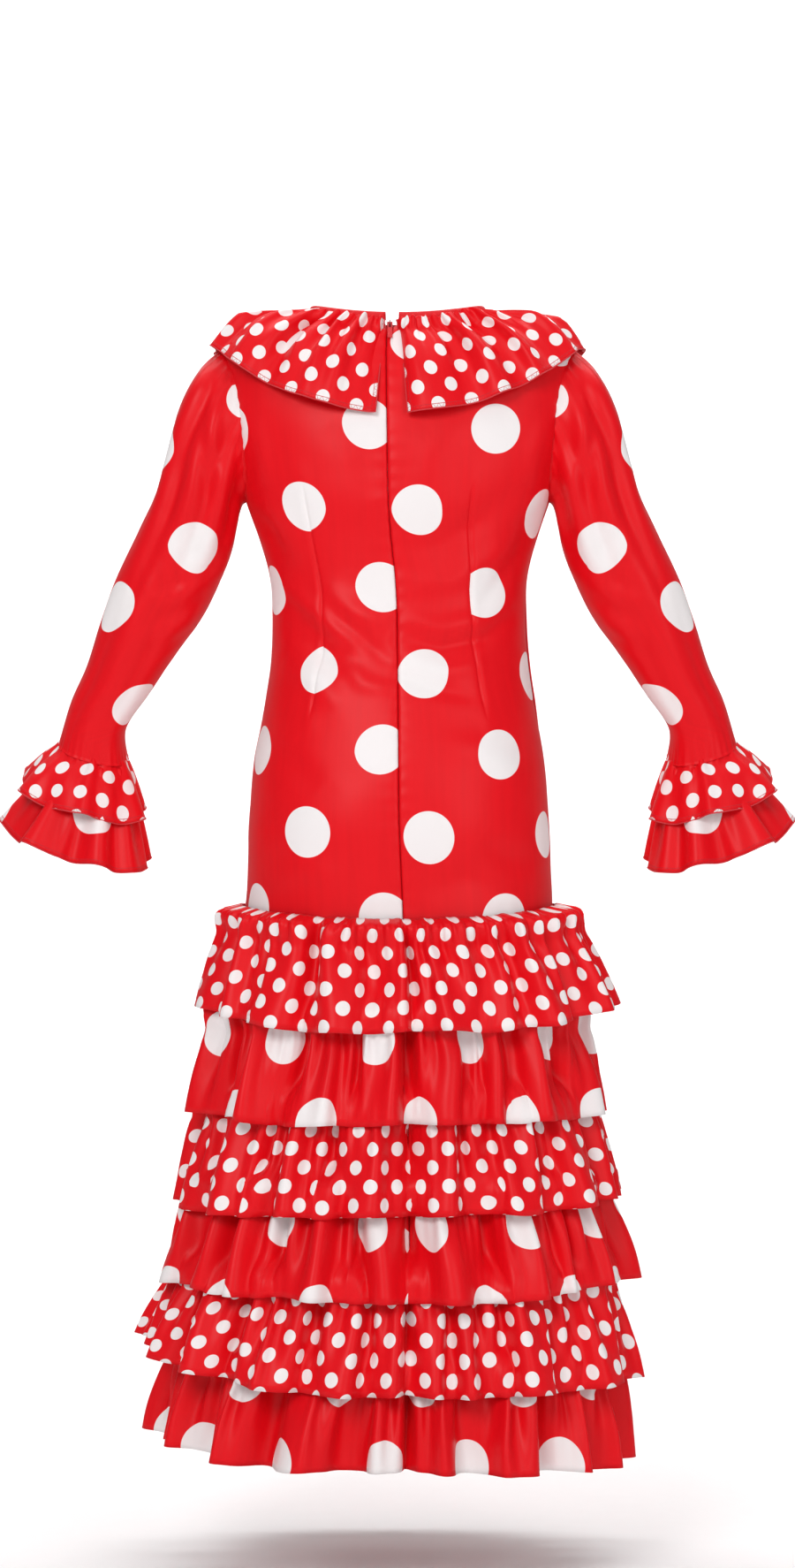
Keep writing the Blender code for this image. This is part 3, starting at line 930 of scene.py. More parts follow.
@dataclass
class ClothGrid:
    """A piece of cloth as a grid of points with its flat coordinates.

    Attributes:
        points: Rows down, columns round from the back to the left, by 3.
        cloth: Flat coordinates in metres at each point, with one more column where the grid is closed.
        closed: Whether the last column meets the first.
        jump: Flat width taken up in each row by a dart, or None.
        jump_column: The column that the dart lies on.
        edge: (length along the nearest hem, distance from it), or None.
    """

    points: Array
    cloth: Array
    closed: bool = False
    jump: Array | None = None
    jump_column: int = 0
    edge: Array | None = None

    def corners(self, values: Array) -> Array:
        """Values at the four corners of each face.

        Args:
            values: Values at each point, rows by columns by any number.

        Returns:
            The values, rows by columns of faces by 4 by that number.
        """
        upper_left, upper_right = values[:-1, :-1], values[:-1, 1:]
        lower_right, lower_left = values[1:, 1:], values[1:, :-1]
        return np.stack([upper_left, upper_right, lower_right, lower_left], axis=2)

    def mesh(self, name: str) -> Mesh:
        """The mesh, with its maps.

        Args:
            name: The mesh's name.

        Returns:
            The mesh.
        """
        rows, columns = self.points.shape[:2]
        index = np.arange(rows * columns).reshape(rows, columns)
        if self.closed:
            index = np.concatenate([index, index[:, :1]], axis=1)
        faces = self.corners(index).reshape(-1, 4)
        mesh = bpy.data.meshes.new(name)
        mesh.from_pydata(self.points.reshape(-1, 3).tolist(), [], faces.tolist())
        flat = self.corners(self.cloth)
        if self.jump is not None:
            taken = np.stack([self.jump[:-1], self.jump[:-1], self.jump[1:], self.jump[1:]], axis=1)
            flat[:, self.jump_column :, :, 0] += taken[:, None, :]
        mesh.uv_layers.new(name="Cloth").data.foreach_set("uv", flat.reshape(-1))
        if self.edge is not None:
            mesh.uv_layers.new(name="Edge").data.foreach_set("uv", self.corners(self.edge).reshape(-1))
        mesh.shade_smooth()
        return mesh

    def flat_area(self) -> float:
        """The area that the piece was cut to."""
        corners = self.corners(self.cloth)
        a, b = corners[..., 2, :] - corners[..., 0, :], corners[..., 3, :] - corners[..., 1, :]
        area = np.abs(a[..., 0] * b[..., 1] - a[..., 1] * b[..., 0]).sum() / 2
        if self.jump is not None:
            area += float(np.trapz(self.jump, self.cloth[:, self.jump_column, 1]))
        return float(area)

    def flat_size(self) -> tuple[float, float]:
        """The width and length of the rectangle that it was cut from."""
        width = self.cloth[..., 0].max() - self.cloth[..., 0].min()
        if self.jump is not None:
            width += self.jump.max()
        return float(width), float(self.cloth[..., 1].max() - self.cloth[..., 1].min())

    def mirrored(self) -> "ClothGrid":
        """The same piece for the other side of the body, its print mirrored with it."""
        points = self.points[:, ::-1] * np.array([-1.0, 1.0, 1.0])
        edge = None if self.edge is None else self.edge[:, ::-1]
        if self.closed:
            points = np.roll(points, 1, axis=1)
        cloth = self.cloth[:, ::-1] * np.array([-1.0, 1.0])
        return ClothGrid(points, cloth, self.closed, edge=edge)


class Slot(Enum):
    """The record's material slot names for the pieces made here. printed_piece picks one but gives it to no
    piece.
    """

    LARGE = "large_dot_satin"
    SMALL = "small_dot_satin"
    BINDING = "binding_satin"
    TAPE = "zip_tape"


def cloth_piece(
    name: str, grid: ClothGrid, outside: Material, inside: Material, wall: float
) -> Object:
    """Makes a piece of cloth: the printed side out, the wrong side in.

    Args:
        name: The piece's name.
        grid: Its grid.
        outside: The right side's material.
        inside: The wrong side's material.
        wall: The cloth's thickness.

    Returns:
        The piece.
    """
    piece = bpy.data.objects.new(name, grid.mesh(name))
    bpy.context.scene.collection.objects.link(piece)
    for material in (outside, inside):
        piece.data.materials.append(material)
    solidify = piece.modifiers.new("Wall", "SOLIDIFY")
    solidify.thickness = wall
    solidify.offset = -1
    solidify.material_offset = 1
    solidify.material_offset_rim = 1
    solidify.use_quality_normals = True
    return piece


def tube_piece(
    name: str, path: Array, radius: float, material: Material, closed: bool = False
) -> Object:
    """Makes a round thread or wire along a path.

    Args:
        name: The piece's name.
        path: Its points.
        radius: The thread's radius.
        material: Its material.
        closed: Whether its end meets its start.

    Returns:
        The piece, as a mesh.
    """
    curve = bpy.data.curves.new(name, "CURVE")
    curve.dimensions = "3D"
    curve.bevel_depth = radius
    curve.bevel_resolution = 1
    curve.use_fill_caps = not closed
    spline = curve.splines.new("POLY")
    spline.points.add(len(path) - 1)
    spline.points.foreach_set("co", np.concatenate([path, np.ones((len(path), 1))], axis=1).reshape(-1))
    spline.use_cyclic_u = closed
    guide = bpy.data.objects.new(name + "_guide", curve)
    bpy.context.scene.collection.objects.link(guide)
    bpy.context.view_layer.update()
    mesh = bpy.data.meshes.new_from_object(guide.evaluated_get(bpy.context.evaluated_depsgraph_get()))
    bpy.data.objects.remove(guide)
    piece = bpy.data.objects.new(name, mesh)
    bpy.context.scene.collection.objects.link(piece)
    mesh.materials.clear()
    mesh.materials.append(material)
    mesh.shade_smooth()
    return piece


def declare(
    piece: Object, grid: ClothGrid, node: str
) -> None:
    """Attaches a piece of cloth to the dress's body, hides the CAD node it stands for and logs its size.

    Args:
        piece: The piece.
        grid: The grid it was made from.
        node: The CAD node it stands for.
    """
    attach(piece, BODY)
    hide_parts(node)
    width, length = grid.flat_size()
    area = min(grid.flat_area(), width * length)
    made = sum(polygon.area for polygon in piece.data.polygons)
    LOG.info("%s: %d faces, cut %.3f x %.3f m", piece.name, len(piece.data.polygons), width, length)
    LOG.info("%s: %.4f m2, made %.2f of it", piece.name, area, made / area)


def hem_bead(name: str, grid: ClothGrid, wardrobe: Wardrobe) -> Object:
    """The roll of overlock thread over a ruffle's cut edge: its hem, and its ends where it has them.

    Args:
        name: The piece's name.
        grid: The ruffle's grid.
        wardrobe: The finishes.

    Returns:
        The bead.
    """
    path = grid.points[-1]
    if not grid.closed:
        path = np.concatenate([grid.points[::2, 0], grid.points[-1, 1:-1], grid.points[::-2, -1]])
    bead = tube_piece(name, path, BEAD_RADIUS, wardrobe["edge_thread"], grid.closed)
    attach(bead, BODY)
    return bead


def printed_piece(
    wardrobe: Wardrobe, name: str, grid: ClothGrid, node: str, dots: DotPrint, held: str, bead: bool = False
) -> None:
    """Makes a piece of printed satin, attaches it to the body and hides its CAD node.

    Args:
        wardrobe: The finishes.
        name: The piece's name.
        grid: Its grid.
        node: The CAD node it stands for.
        dots: Its print.
        held: How the cloth is held.
        bead: Whether its edge is overlocked, with a roll of thread.
    """
    size, slot = ("small", Slot.SMALL) if dots is SMALL_DOTS else ("large", Slot.LARGE)
    outside = wardrobe[size + ("_dot_stitched" if bead else "_dot_satin")]
    wall = BODY_WALL if held == "hung" else RUFFLE_WALL
    piece = cloth_piece(name, grid, outside, wardrobe[size + "_dot_reverse"], wall)
    if bead:
        hem_bead(node + "_edge", grid, wardrobe)
    declare(piece, grid, node)


# Creases, listed one by one.


@dataclass(frozen=True)
class Crease:
    """A soft ridge or trough in a body panel or a sleeve.

    Attributes:
        path: (x, z) points that it runs through, in metres.
        width: How far from its path it fades.
        height: How far it stands out. A trough's is negative.
    """

    path: tuple
    width: float
    height: float

    def lift(self, x: Array, z: Array) -> Array:
        """How far the crease moves each point out, fading towards its ends.

        Args:
            x: The points' x.
            z: The points' z, of the same shape.

        Returns:
            The distance outwards of each point.
        """
        points = np.array(self.path)
        lengths = np.concatenate([[0], np.cumsum(np.linalg.norm(np.diff(points, axis=0), axis=1))])
        best, along = np.full(x.shape, 1e9), np.zeros(x.shape)
        for (ax, az), (bx, bz), start in zip(points[:-1], points[1:], lengths[:-1]):
            dx, dz = bx - ax, bz - az
            span = dx * dx + dz * dz
            share = np.clip(((x - ax) * dx + (z - az) * dz) / span, 0, 1)
            away = np.hypot(x - ax - share * dx, z - az - share * dz)
            nearer = away < best
            best = np.where(nearer, away, best)
            along = np.where(nearer, (start + share * math.sqrt(span)) / lengths[-1], along)
        fade = np.sin(math.pi * np.clip(along, 0.02, 0.98)) ** 0.7
        return self.height * fade * bell(best, 1.15 * self.width)


def creased(creases: tuple, x: Array, z: Array) -> Array:
    """How far creases move each point out, all together."""
    return sum(crease.lift(x, z) for crease in creases)


def creases(*rows: tuple) -> tuple:
    """Creases from rows of (x, z) points, a width and a height, all in millimetres."""
    return tuple(
        Crease(tuple((x / 1000, z / 1000) for x, z in points), width / 1000, height / 1000)
        for *points, width, height in rows
    )


# On the back panels, and on the front.
BACK_CREASES = creases(
    ((103, -240), (80, -268), (54, -296), (30, -312), 7.5, -2.2),
    ((100, -268), (72, -292), (44, -318), 6, -1.6),
    ((104, -222), (82, -252), (50, -277), (12, -292), 8, 2),
    ((62, -240), (36, -262), (6, -276), 8.5, 2),
    ((56, -262), (30, -284), (4, -306), 5.5, -1.7),
    ((50, -298), (28, -322), (4, -330), 7, 1.6),
    ((98, -300), (70, -318), (46, -345), 8.5, 1.6),
    ((112, -372), (88, -392), (66, -412), 10, -1.4),
    ((-2, -262), (-34, -276), (-70, -268), (-100, -246), 8, 2),
    ((-3, -282), (-36, -292), (-72, -284), (-102, -262), 5.5, -1.8),
    ((-4, -300), (-40, -312), (-78, -306), 7, 1.6),
    ((-4, -318), (-34, -328), (-66, -334), 5.5, -1.3),
    ((-6, -214), (-40, -204), (-78, -178), (-108, -158), 9.5, -1.8),
    ((-10, -240), (-44, -236), (-82, -214), (-106, -192), 8.5, 1.7),
    ((-104, -212), (-84, -240), (-66, -262), 6.5, -1.6),
    ((-70, -455), (-92, -470), (-116, -476), 10, -1.4),
    ((-30, -372), (-74, -380), (-110, -398), 11, 1.3),
    ((128, -168), (110, -192), (96, -224), 7, -1.8),
    ((120, -160), (98, -186), (80, -220), 8, 1.4),
    ((-128, -168), (-112, -190), (-100, -220), 7, -1.8),
    ((128, -92), (116, -126), (112, -156), 7, 1.4),
    ((-128, -92), (-116, -126), (-112, -156), 7, 1.4),
    ((60, -100), (30, -128), (16, -170), 12, -1),
    ((-60, -100), (-30, -132), (-18, -180), 12, 1),
    ((110, -492), (80, -478), (40, -488), 10, 1.1),
    ((-20, -495), (-60, -484), (-100, -500), 10, -1.1),
)
FRONT_CREASES = creases(
    ((100, -236), (64, -262), (20, -276), (-20, -272), 8.5, 1.8),
    ((104, -256), (66, -284), (24, -296), 6, -1.6),
    ((-102, -240), (-70, -266), (-36, -288), 7.5, -1.8),
    ((-100, -270), (-60, -292), (-16, -300), 8.5, 1.7),
    ((126, -168), (106, -196), (90, -230), 7.5, -1.8),
    ((-126, -168), (-104, -192), (-86, -228), 7.5, -1.8),
    ((120, -150), (90, -176), (50, -190), 8.5, 1.5),
    ((-120, -150), (-92, -172), (-54, -184), 8.5, 1.5),
    ((112, -370), (80, -390), (40, -396), 11, -1.3),
    ((-112, -366), (-74, -384), (-30, -402), 11, 1.3),
    ((100, -310), (50, -328), (0, -326), 9, 1.3),
    ((-108, -330), (-60, -346), (-10, -350), 8, -1.3),
    ((60, -480), (20, -466), (-30, -474), 11, 1.2),
    ((-50, -498), (-84, -486), (-114, -490), 10, -1.2),
)

# On the back of the wearer's left sleeve.
SLEEVE_CREASES = creases(
    ((158, -39), (160, -73), (187, -125), (191, -153), (200, -190), 5.5, -3.6),
    ((166, -45), (173, -90), (197, -135), (204, -175), 8, 2.4),
    ((154, -55), (158, -108), (153, -135), (149, -173), 6, 2.6),
    ((163, -90), (166, -130), (163, -170), 5, -2.8),
    ((139, -110), (134, -165), 5.5, -2.2),
    ((214, -215), (200, -240), (188, -262), (184, -290), 5, -1.5),
    ((208, -205), (192, -228), (176, -250), (165, -262), 5, -1.5),
    ((218, -240), (208, -270), (206, -310), 7, -1.6),
    ((194, -185), (176, -208), (160, -225), 5.5, -1.8),
    ((222, -298), (238, -335), (253, -366), 9, 1.8),
    ((240, -290), (262, -340), 8, -1.4),
)


# The body.


@dataclass(frozen=True)
class Puckers:
    """Small waves in a panel along a seam that takes up a little of its length.

    Attributes:
        pitch: The distance between two of them.
        height: How far they stand out at the seam.
        reach: How far from the seam they fade.
        seed: Which ones.
        count: How many times a metre their spacing varies.
        sway: How much it varies, in radians.
    """

    pitch: float
    height: float
    reach: float
    seed: int
    count: int
    sway: float

    def lift(self, z: Array, away: Array) -> Array:
        """How far they stand out at heights z and distances away from the seam."""
        wave = np.cos(z * 2 * math.pi / self.pitch + self.sway * uneven_line(self.seed, self.count, -z))
        return self.height * wave * np.exp(-away / self.reach)


CENTRE_PUCKERS = {side: Puckers(0.0135, 0.00045, 0.007, 21 + side, 30, 2.2) for side in (1, -1)}
BACK_ARMHOLE_PUCKERS = Puckers(0.0110, 0.00045, 0.008, 31, 24, 3.0)
FRONT_ARMHOLE_PUCKERS = Puckers(0.0115, 0.00045, 0.008, 32, 24, 3.0)


def rumpled(seed: int, x: Array, z: Array) -> Array:
    """A panel's slight unevenness, broad and fine."""
    return 0.0012 * uneven_field(seed, x, z, 0.055) + 0.0002 * uneven_field(seed + 1, x, z, 0.02)


@dataclass(frozen=True)
class PanelPrint:
    """Where the print lies on a back panel.

    Attributes:
        drift: (z, shift of the print against the seam).
        start: The first dot column's distance from the seam.
        level: The height of one dot of that column.
        rise: How much higher than that the print sits at the neck.
    """

    drift: tuple
    start: float
    level: float
    rise: float


@dataclass
class Bodice:
    """The body panels with their darts and seams, from the neck down to the base under the tiers."""

    spacing: float = 0.0031  # between rows above the tiers, and then under them
    base_spacing: float = 0.010
    centre_columns: int = 30  # of a back panel up to its dart, and then beyond it
    side_columns: int = 40
    front_columns: int = 104
    seam_gap: float = 0.0001  # between each back panel and the centre seam, and then at the neck
    neck_opening: float = 0.0058
    # (z, distance from the centre back seam, width taken up) of each back panel's dart, from the top.
    dart: tuple = (
        (-0.100, 0.0785, 0.0), (-0.152, 0.0722, 0.0), (-0.185, 0.0680, 0.0068),
        (-0.243, 0.0625, 0.0158), (-0.268, 0.0625, 0.0170), (-0.300, 0.0650, 0.0130),
        (-0.330, 0.0700, 0.0050), (-0.352, 0.0745, 0.0), (-0.420, 0.0830, 0.0),
    )
    left_print: PanelPrint = PanelPrint(
        ((-0.05, 0.0), (-0.10, -0.001), (-0.177, 0.005), (-0.241, 0.003), (-0.315, 0.0075), (-0.38, 0.0)),
        0.0155, -0.2411, 0.0,
    )
    right_print: PanelPrint = PanelPrint(
        (
            (-0.064, -0.001), (-0.086, -0.0055), (-0.125, -0.0045), (-0.177, 0.0), (-0.243, -0.006),
            (-0.315, 0.003), (-0.38, -0.001),
        ),
        0.0235, -0.1766, 0.010,
    )
    # (depth, width) of the grooves that the seams lie in, sharp and soft.
    centre_seam: tuple = ((0.0013, 0.0010), (0.0006, 0.004))
    side_seam: tuple = ((0.0010, 0.0013), (0.0004, 0.004))
    dart_seam: tuple = ((0.0011, 0.0009), (0.0005, 0.003))
    front_seam: tuple = ((0.0011, 0.0020),)
    crease_height: float = 1.7  # times the creases' listed heights
    smooth_below: tuple = (-0.52, -0.50)  # the creases fade out under the tiers
    dart_ends: tuple = (-0.150, -0.352)  # where the dart's two points pucker
    armhole_fade: tuple = (-0.165, -0.150)  # the armhole's puckers fade out below

    def back_grid(self, side: int) -> ClothGrid:
        """One back panel.

        Args:
            side: 1 for the wearer's left, -1 for the right.

        Returns:
            The panel's grid.
        """
        places = FORM.panel_places(self.spacing, self.base_spacing)
        seam_x = FORM.seam_x(places)
        at_neck = smooth_step(FORM.neck - 1, FORM.neck, places)
        parting = self.seam_gap + (self.neck_opening - self.seam_gap) * at_neck
        start = FORM.angle_at(places, seam_x + side * parting)
        end = side * FORM.side_angle(places)
        level = FORM.point(places, np.full_like(places, FORM.measuring_angle))[:, 2]
        reach, taken = read_table(self.dart, level, 1), read_table(self.dart, level, 2)
        middle = FORM.angle_at(places, seam_x + side * reach)
        middle = start + (middle - start) * np.clip(0.72 * (end - start) / (middle - start), 0, 1)
        first = crowded(self.centre_columns, 0.65)
        second = crowded(self.side_columns, 0.65)[1:]
        near = start[:, None] + (middle - start)[:, None] * first
        far = middle[:, None] + (end - middle)[:, None] * second
        angles = np.concatenate([near, far], axis=1)
        points = FORM.point(np.repeat(places[:, None], angles.shape[1], axis=1), angles)
        flat = self.flat_map(points, side)
        points = self.shaped(points, side, taken)
        if side > 0:
            return ClothGrid(points, flat, jump=taken, jump_column=self.centre_columns)
        # The right panel's columns run the other way, so that the print beyond its dart comes first.
        flat[..., 0] -= taken[:, None]
        column = angles.shape[1] - 1 - self.centre_columns
        return ClothGrid(points[:, ::-1], flat[:, ::-1], jump=taken, jump_column=column)

    def flat_map(self, points: Array, side: int) -> Array:
        """Flat coordinates of a back panel: from the centre seam, and down from a dot's level.

        Args:
            points: The panel on the form, from the centre seam to the side.
            side: 1 for the wearer's left, -1 for the right.

        Returns:
            The coordinates, rows by columns by 2.
        """
        where = self.left_print if side > 0 else self.right_print
        down = run_lengths(points, 0)[:, self.centre_columns]
        level = points[:, self.centre_columns, 2]
        down = down - np.interp(-where.level, -level, down)
        down += where.rise * smooth_step(-0.076, -0.060, level)
        shift = read_table(where.drift, level)
        first = side * (run_lengths(points, 1) + shift[:, None] - where.start)
        return paired(first, -down[:, None])

    def shaped(self, points: Array, side: int, taken: Array) -> Array:
        """A back panel with its seams, dart and creases pressed in.

        Args:
            points: The panel on the form, from the centre seam to the side.
            side: 1 for the wearer's left, -1 for the right.
            taken: The width that the dart takes up in each row.

        Returns:
            The shaped panel.
        """
        normal = outward(points, False) * side
        across = run_lengths(points, 1)
        from_dart = across - across[:, self.centre_columns : self.centre_columns + 1]
        to_side = across[:, -1:] - across
        x, z = points[..., 0], points[..., 2]
        visible = smooth_step(*self.smooth_below, z)
        lift = self.crease_height * creased(BACK_CREASES, x, z) * smooth_step(0.0, 0.03, points[..., 1])
        lift = (lift + rumpled(11, x, z) + CENTRE_PUCKERS[side].lift(z, across)) * visible
        lift -= groove(across, self.centre_seam) + groove(to_side, self.side_seam)
        sewn = np.clip(taken / 0.004, 0, 1)[:, None]
        lift -= sewn * (groove(from_dart, self.dart_seam) - 0.0004 * bell(from_dart - 0.0045, 0.0035))
        ends = sum(smooth_step(0.020, 0.0, np.abs(z - end)) for end in self.dart_ends)
        lift += 0.0007 * ends * bell(from_dart, 0.008)
        lift += BACK_ARMHOLE_PUCKERS.lift(z, to_side) * smooth_step(*self.armhole_fade, z)
        return points + normal * lift[..., None]

    def front_grid(self) -> ClothGrid:
        """The front panel, in one piece."""
        places = FORM.panel_places(self.spacing, self.base_spacing)
        start = math.pi - FORM.side_angle(places)
        share = crowded(self.front_columns, 0.6)
        angles = start[:, None] + (2 * math.pi - 2 * start)[:, None] * share
        points = FORM.point(np.repeat(places[:, None], angles.shape[1], axis=1), angles)
        across = run_lengths(points, 1)
        middle = self.front_columns // 2
        down = run_lengths(points, 0)[:, middle]
        down = down - np.interp(0.30, -points[:, middle, 2], down)
        flat = paired(across - across[:, middle : middle + 1], -down[:, None])
        normal = outward(points, False)
        x, z = points[..., 0], points[..., 2]
        lift = self.crease_height * creased(FRONT_CREASES, x, z) * smooth_step(0.0, -0.03, points[..., 1])
        lift = (lift + rumpled(13, x, z)) * smooth_step(*self.smooth_below, z)
        edge = np.minimum(across, across[:, -1:] - across)
        lift -= groove(edge, self.front_seam)
        lift += FRONT_ARMHOLE_PUCKERS.lift(z, edge) * smooth_step(*self.armhole_fade, z)
        return ClothGrid(points + normal * lift[..., None], flat)

    def build(self, wardrobe: Wardrobe) -> None:
        """Makes the three panels.

        Args:
            wardrobe: The finishes.
        """
        backs = {"back_left": self.back_grid(1), "back_right": self.back_grid(-1)}
        panels = {**backs, "front": self.front_grid()}
        for node, grid in panels.items():
            printed_piece(wardrobe, node + "_panel", grid, node, LARGE_DOTS, "hung")


# Gathered strips: tiers, cuffs and collar.


@dataclass(frozen=True)
class Gathers:
    """How a strip is folded to fit a shorter seam, without stretching it.

    The strip's direction swings to and fro as it goes round: by fine gathers near the seam, and by wider
    folds below.

    Attributes:
        seed: Which folds.
        fine: How many fine gathers there are along the strip.
        middle: How many middle folds.
        broad: How many broad folds.
        reach: The share of the strip's height in which the fine gathers die away.
        broad_share: How much of the swing at the hem is in the broad folds.
        steepest: The most that the strip turns off its way round, in radians.
    """

    seed: int
    fine: int
    middle: int
    broad: int
    reach: float = 0.22
    broad_share: float = 1.0
    steepest: float = 1.4

    def swing(self, along: Array, drop: Array) -> Array:
        """How the strip's direction swings, before it is fitted to its length.

        Args:
            along: Share of the strip's length, of each column.
            drop: Share of the strip's height, of each row.

        Returns:
            The swing, rows by columns.
        """
        t, u = drop[:, None], along[None, :]
        seed = self.seed
        lean = 0.16 / self.broad * uneven_line(seed + 1, 11, u) * t
        broad = fold_phase(seed + 2, self.broad, (u + lean) % 1.0, 0.45)
        middle = fold_phase(seed + 3, self.middle, (u + 0.6 * lean) % 1.0, 0.5)
        fine = fold_phase(seed + 4, self.fine, u % 1.0, 0.55)
        reach = self.reach * (1.1 + 0.9 * uneven_line(seed + 8, self.fine // 4, u))
        fine_part = 0.9 + 0.5 * uneven_line(seed + 7, self.fine // 2, u)
        fine_part = fine_part * (np.exp(-((t / reach) ** 1.3)) + 0.015)
        middle_part = 0.8 + 0.6 * uneven_line(seed + 6, self.middle, u)
        middle_part = middle_part * (0.45 + 0.55 * smooth_step(0.0, 0.3, t))
        middle_part = middle_part * (1 - 0.45 * smooth_step(0.4, 1.0, t))
        broad_part = self.broad_share * (1 + 0.35 * uneven_line(seed + 5, self.broad, u)) * (0.06 + t**0.8)
        return fine_part * np.sin(fine) + middle_part * np.sin(middle) + broad_part * np.sin(broad)

    def lay(
        self, along: Array, drop: Array, fit: Array, length: Array
    ) -> tuple[Array, Array]:
        """Folds the strip so that each row fits its ring.

        Args:
            along: Share of the strip's length, of each column.
            drop: Share of the strip's height, of each row.
            fit: The ring's length against the strip's, of each row.
            length: The strip's flat length along each row.

        Returns:
            The share of the way round and the distance outwards of each point, rows by columns.
        """
        swing = self.swing(along, drop)
        step = length * (along[1] - along[0])
        share, out = np.empty_like(swing), np.empty_like(swing)
        frequency = np.fft.rfftfreq(len(along), 1 / len(along))
        keep = 1 - np.exp(-((frequency / (0.45 * self.broad)) ** 4))
        for row, ratio in enumerate(fit):
            low, high = 0.0, 8.0
            for _ in range(26):
                gain = (low + high) / 2
                turn = self.steepest * np.tanh(gain * swing[row] / self.steepest)
                low, high = (gain, high) if np.cos(turn).mean() > ratio else (low, gain)
            forward = np.concatenate([[0], np.cumsum((np.cos(turn[1:]) + np.cos(turn[:-1])) / 2)])
            share[row] = forward / (forward[-1] + (along[0] + 1 - along[-1] > 1e-9) * np.cos(turn[-1]))
            lag = np.fft.irfft(np.fft.rfft(share[row] - along) * (1 - keep), len(along))
            share[row] = np.clip(share[row] - lag + lag[0], 0, 1)
            rise = np.concatenate([[0], np.cumsum((np.sin(turn[1:]) + np.sin(turn[:-1])) / 2)]) * step[row]
            rise -= rise[-1] * along / along[-1]
            out[row] = np.fft.irfft(np.fft.rfft(rise) * keep, len(along))
        return share, out


def gathered(
    base: Array,
    gathers: Gathers,
    along: Array,
    drop: Array,
    length: float | Array,
    sink: float,
    level: float = 1.0,
) -> Array:
    """Lays a gathered strip on a smooth form.

    Args:
        base: The form, with as many rows as the strip. If it is closed, its last column meets its first.
        gathers: The strip's folds.
        along: Share of the strip's length, of each column.
        drop: Share of the strip's height, of each row.
        length: The strip's flat length, or its length along each row.
        sink: How far the folds' middle lies inside the form at the hem, against their depth.
        level: 1 for folds that stand straight off the form, and less for more level ones.

    Returns:
        The strip's points.
    """
    normal = outward(base, False)
    if np.allclose(base[:, 0], base[:, -1], atol=1e-6):
        normal[:, 0] = normal[:, -1] = outward(base[:, :-1], True)[:, 0]
    normal[..., 2] *= level
    normal /= np.linalg.norm(normal, axis=2, keepdims=True)
    run = run_lengths(base, 1)
    length = length + 0 * drop
    share, out = gathers.lay(along, drop, np.minimum(run[:, -1] / length, 0.995), length)
    at_seam = 1 - smooth_step(0.0, 0.3, drop)
    tucked = 0.35 + 0.65 * smooth_step(0.0, 0.06, drop)
    out *= tucked[:, None]
    out += (-out.min(axis=1) * at_seam - sink * out.std(axis=1) * (1 - at_seam))[:, None]
    points = np.empty((len(drop), len(along), 3))
    count = np.arange(base.shape[1])
    for row in range(len(drop)):
        place = np.interp(share[row], run[row] / run[row, -1], count)
        for axis in range(3):
            on_form = np.interp(place, count, base[row, :, axis])
            points[row, :, axis] = on_form + out[row] * np.interp(place, count, normal[row, :, axis])
    return points


def spread_rows(count: int, first: float) -> Array:
    """Shares from 0 to 1, closer together at the start.

    Args:
        count: How many steps.
        first: The first step against an even one.

    Returns:
        The shares.
    """
    even = np.linspace(0, 1, count + 1)
    return first * even + (1 - first) * even**2


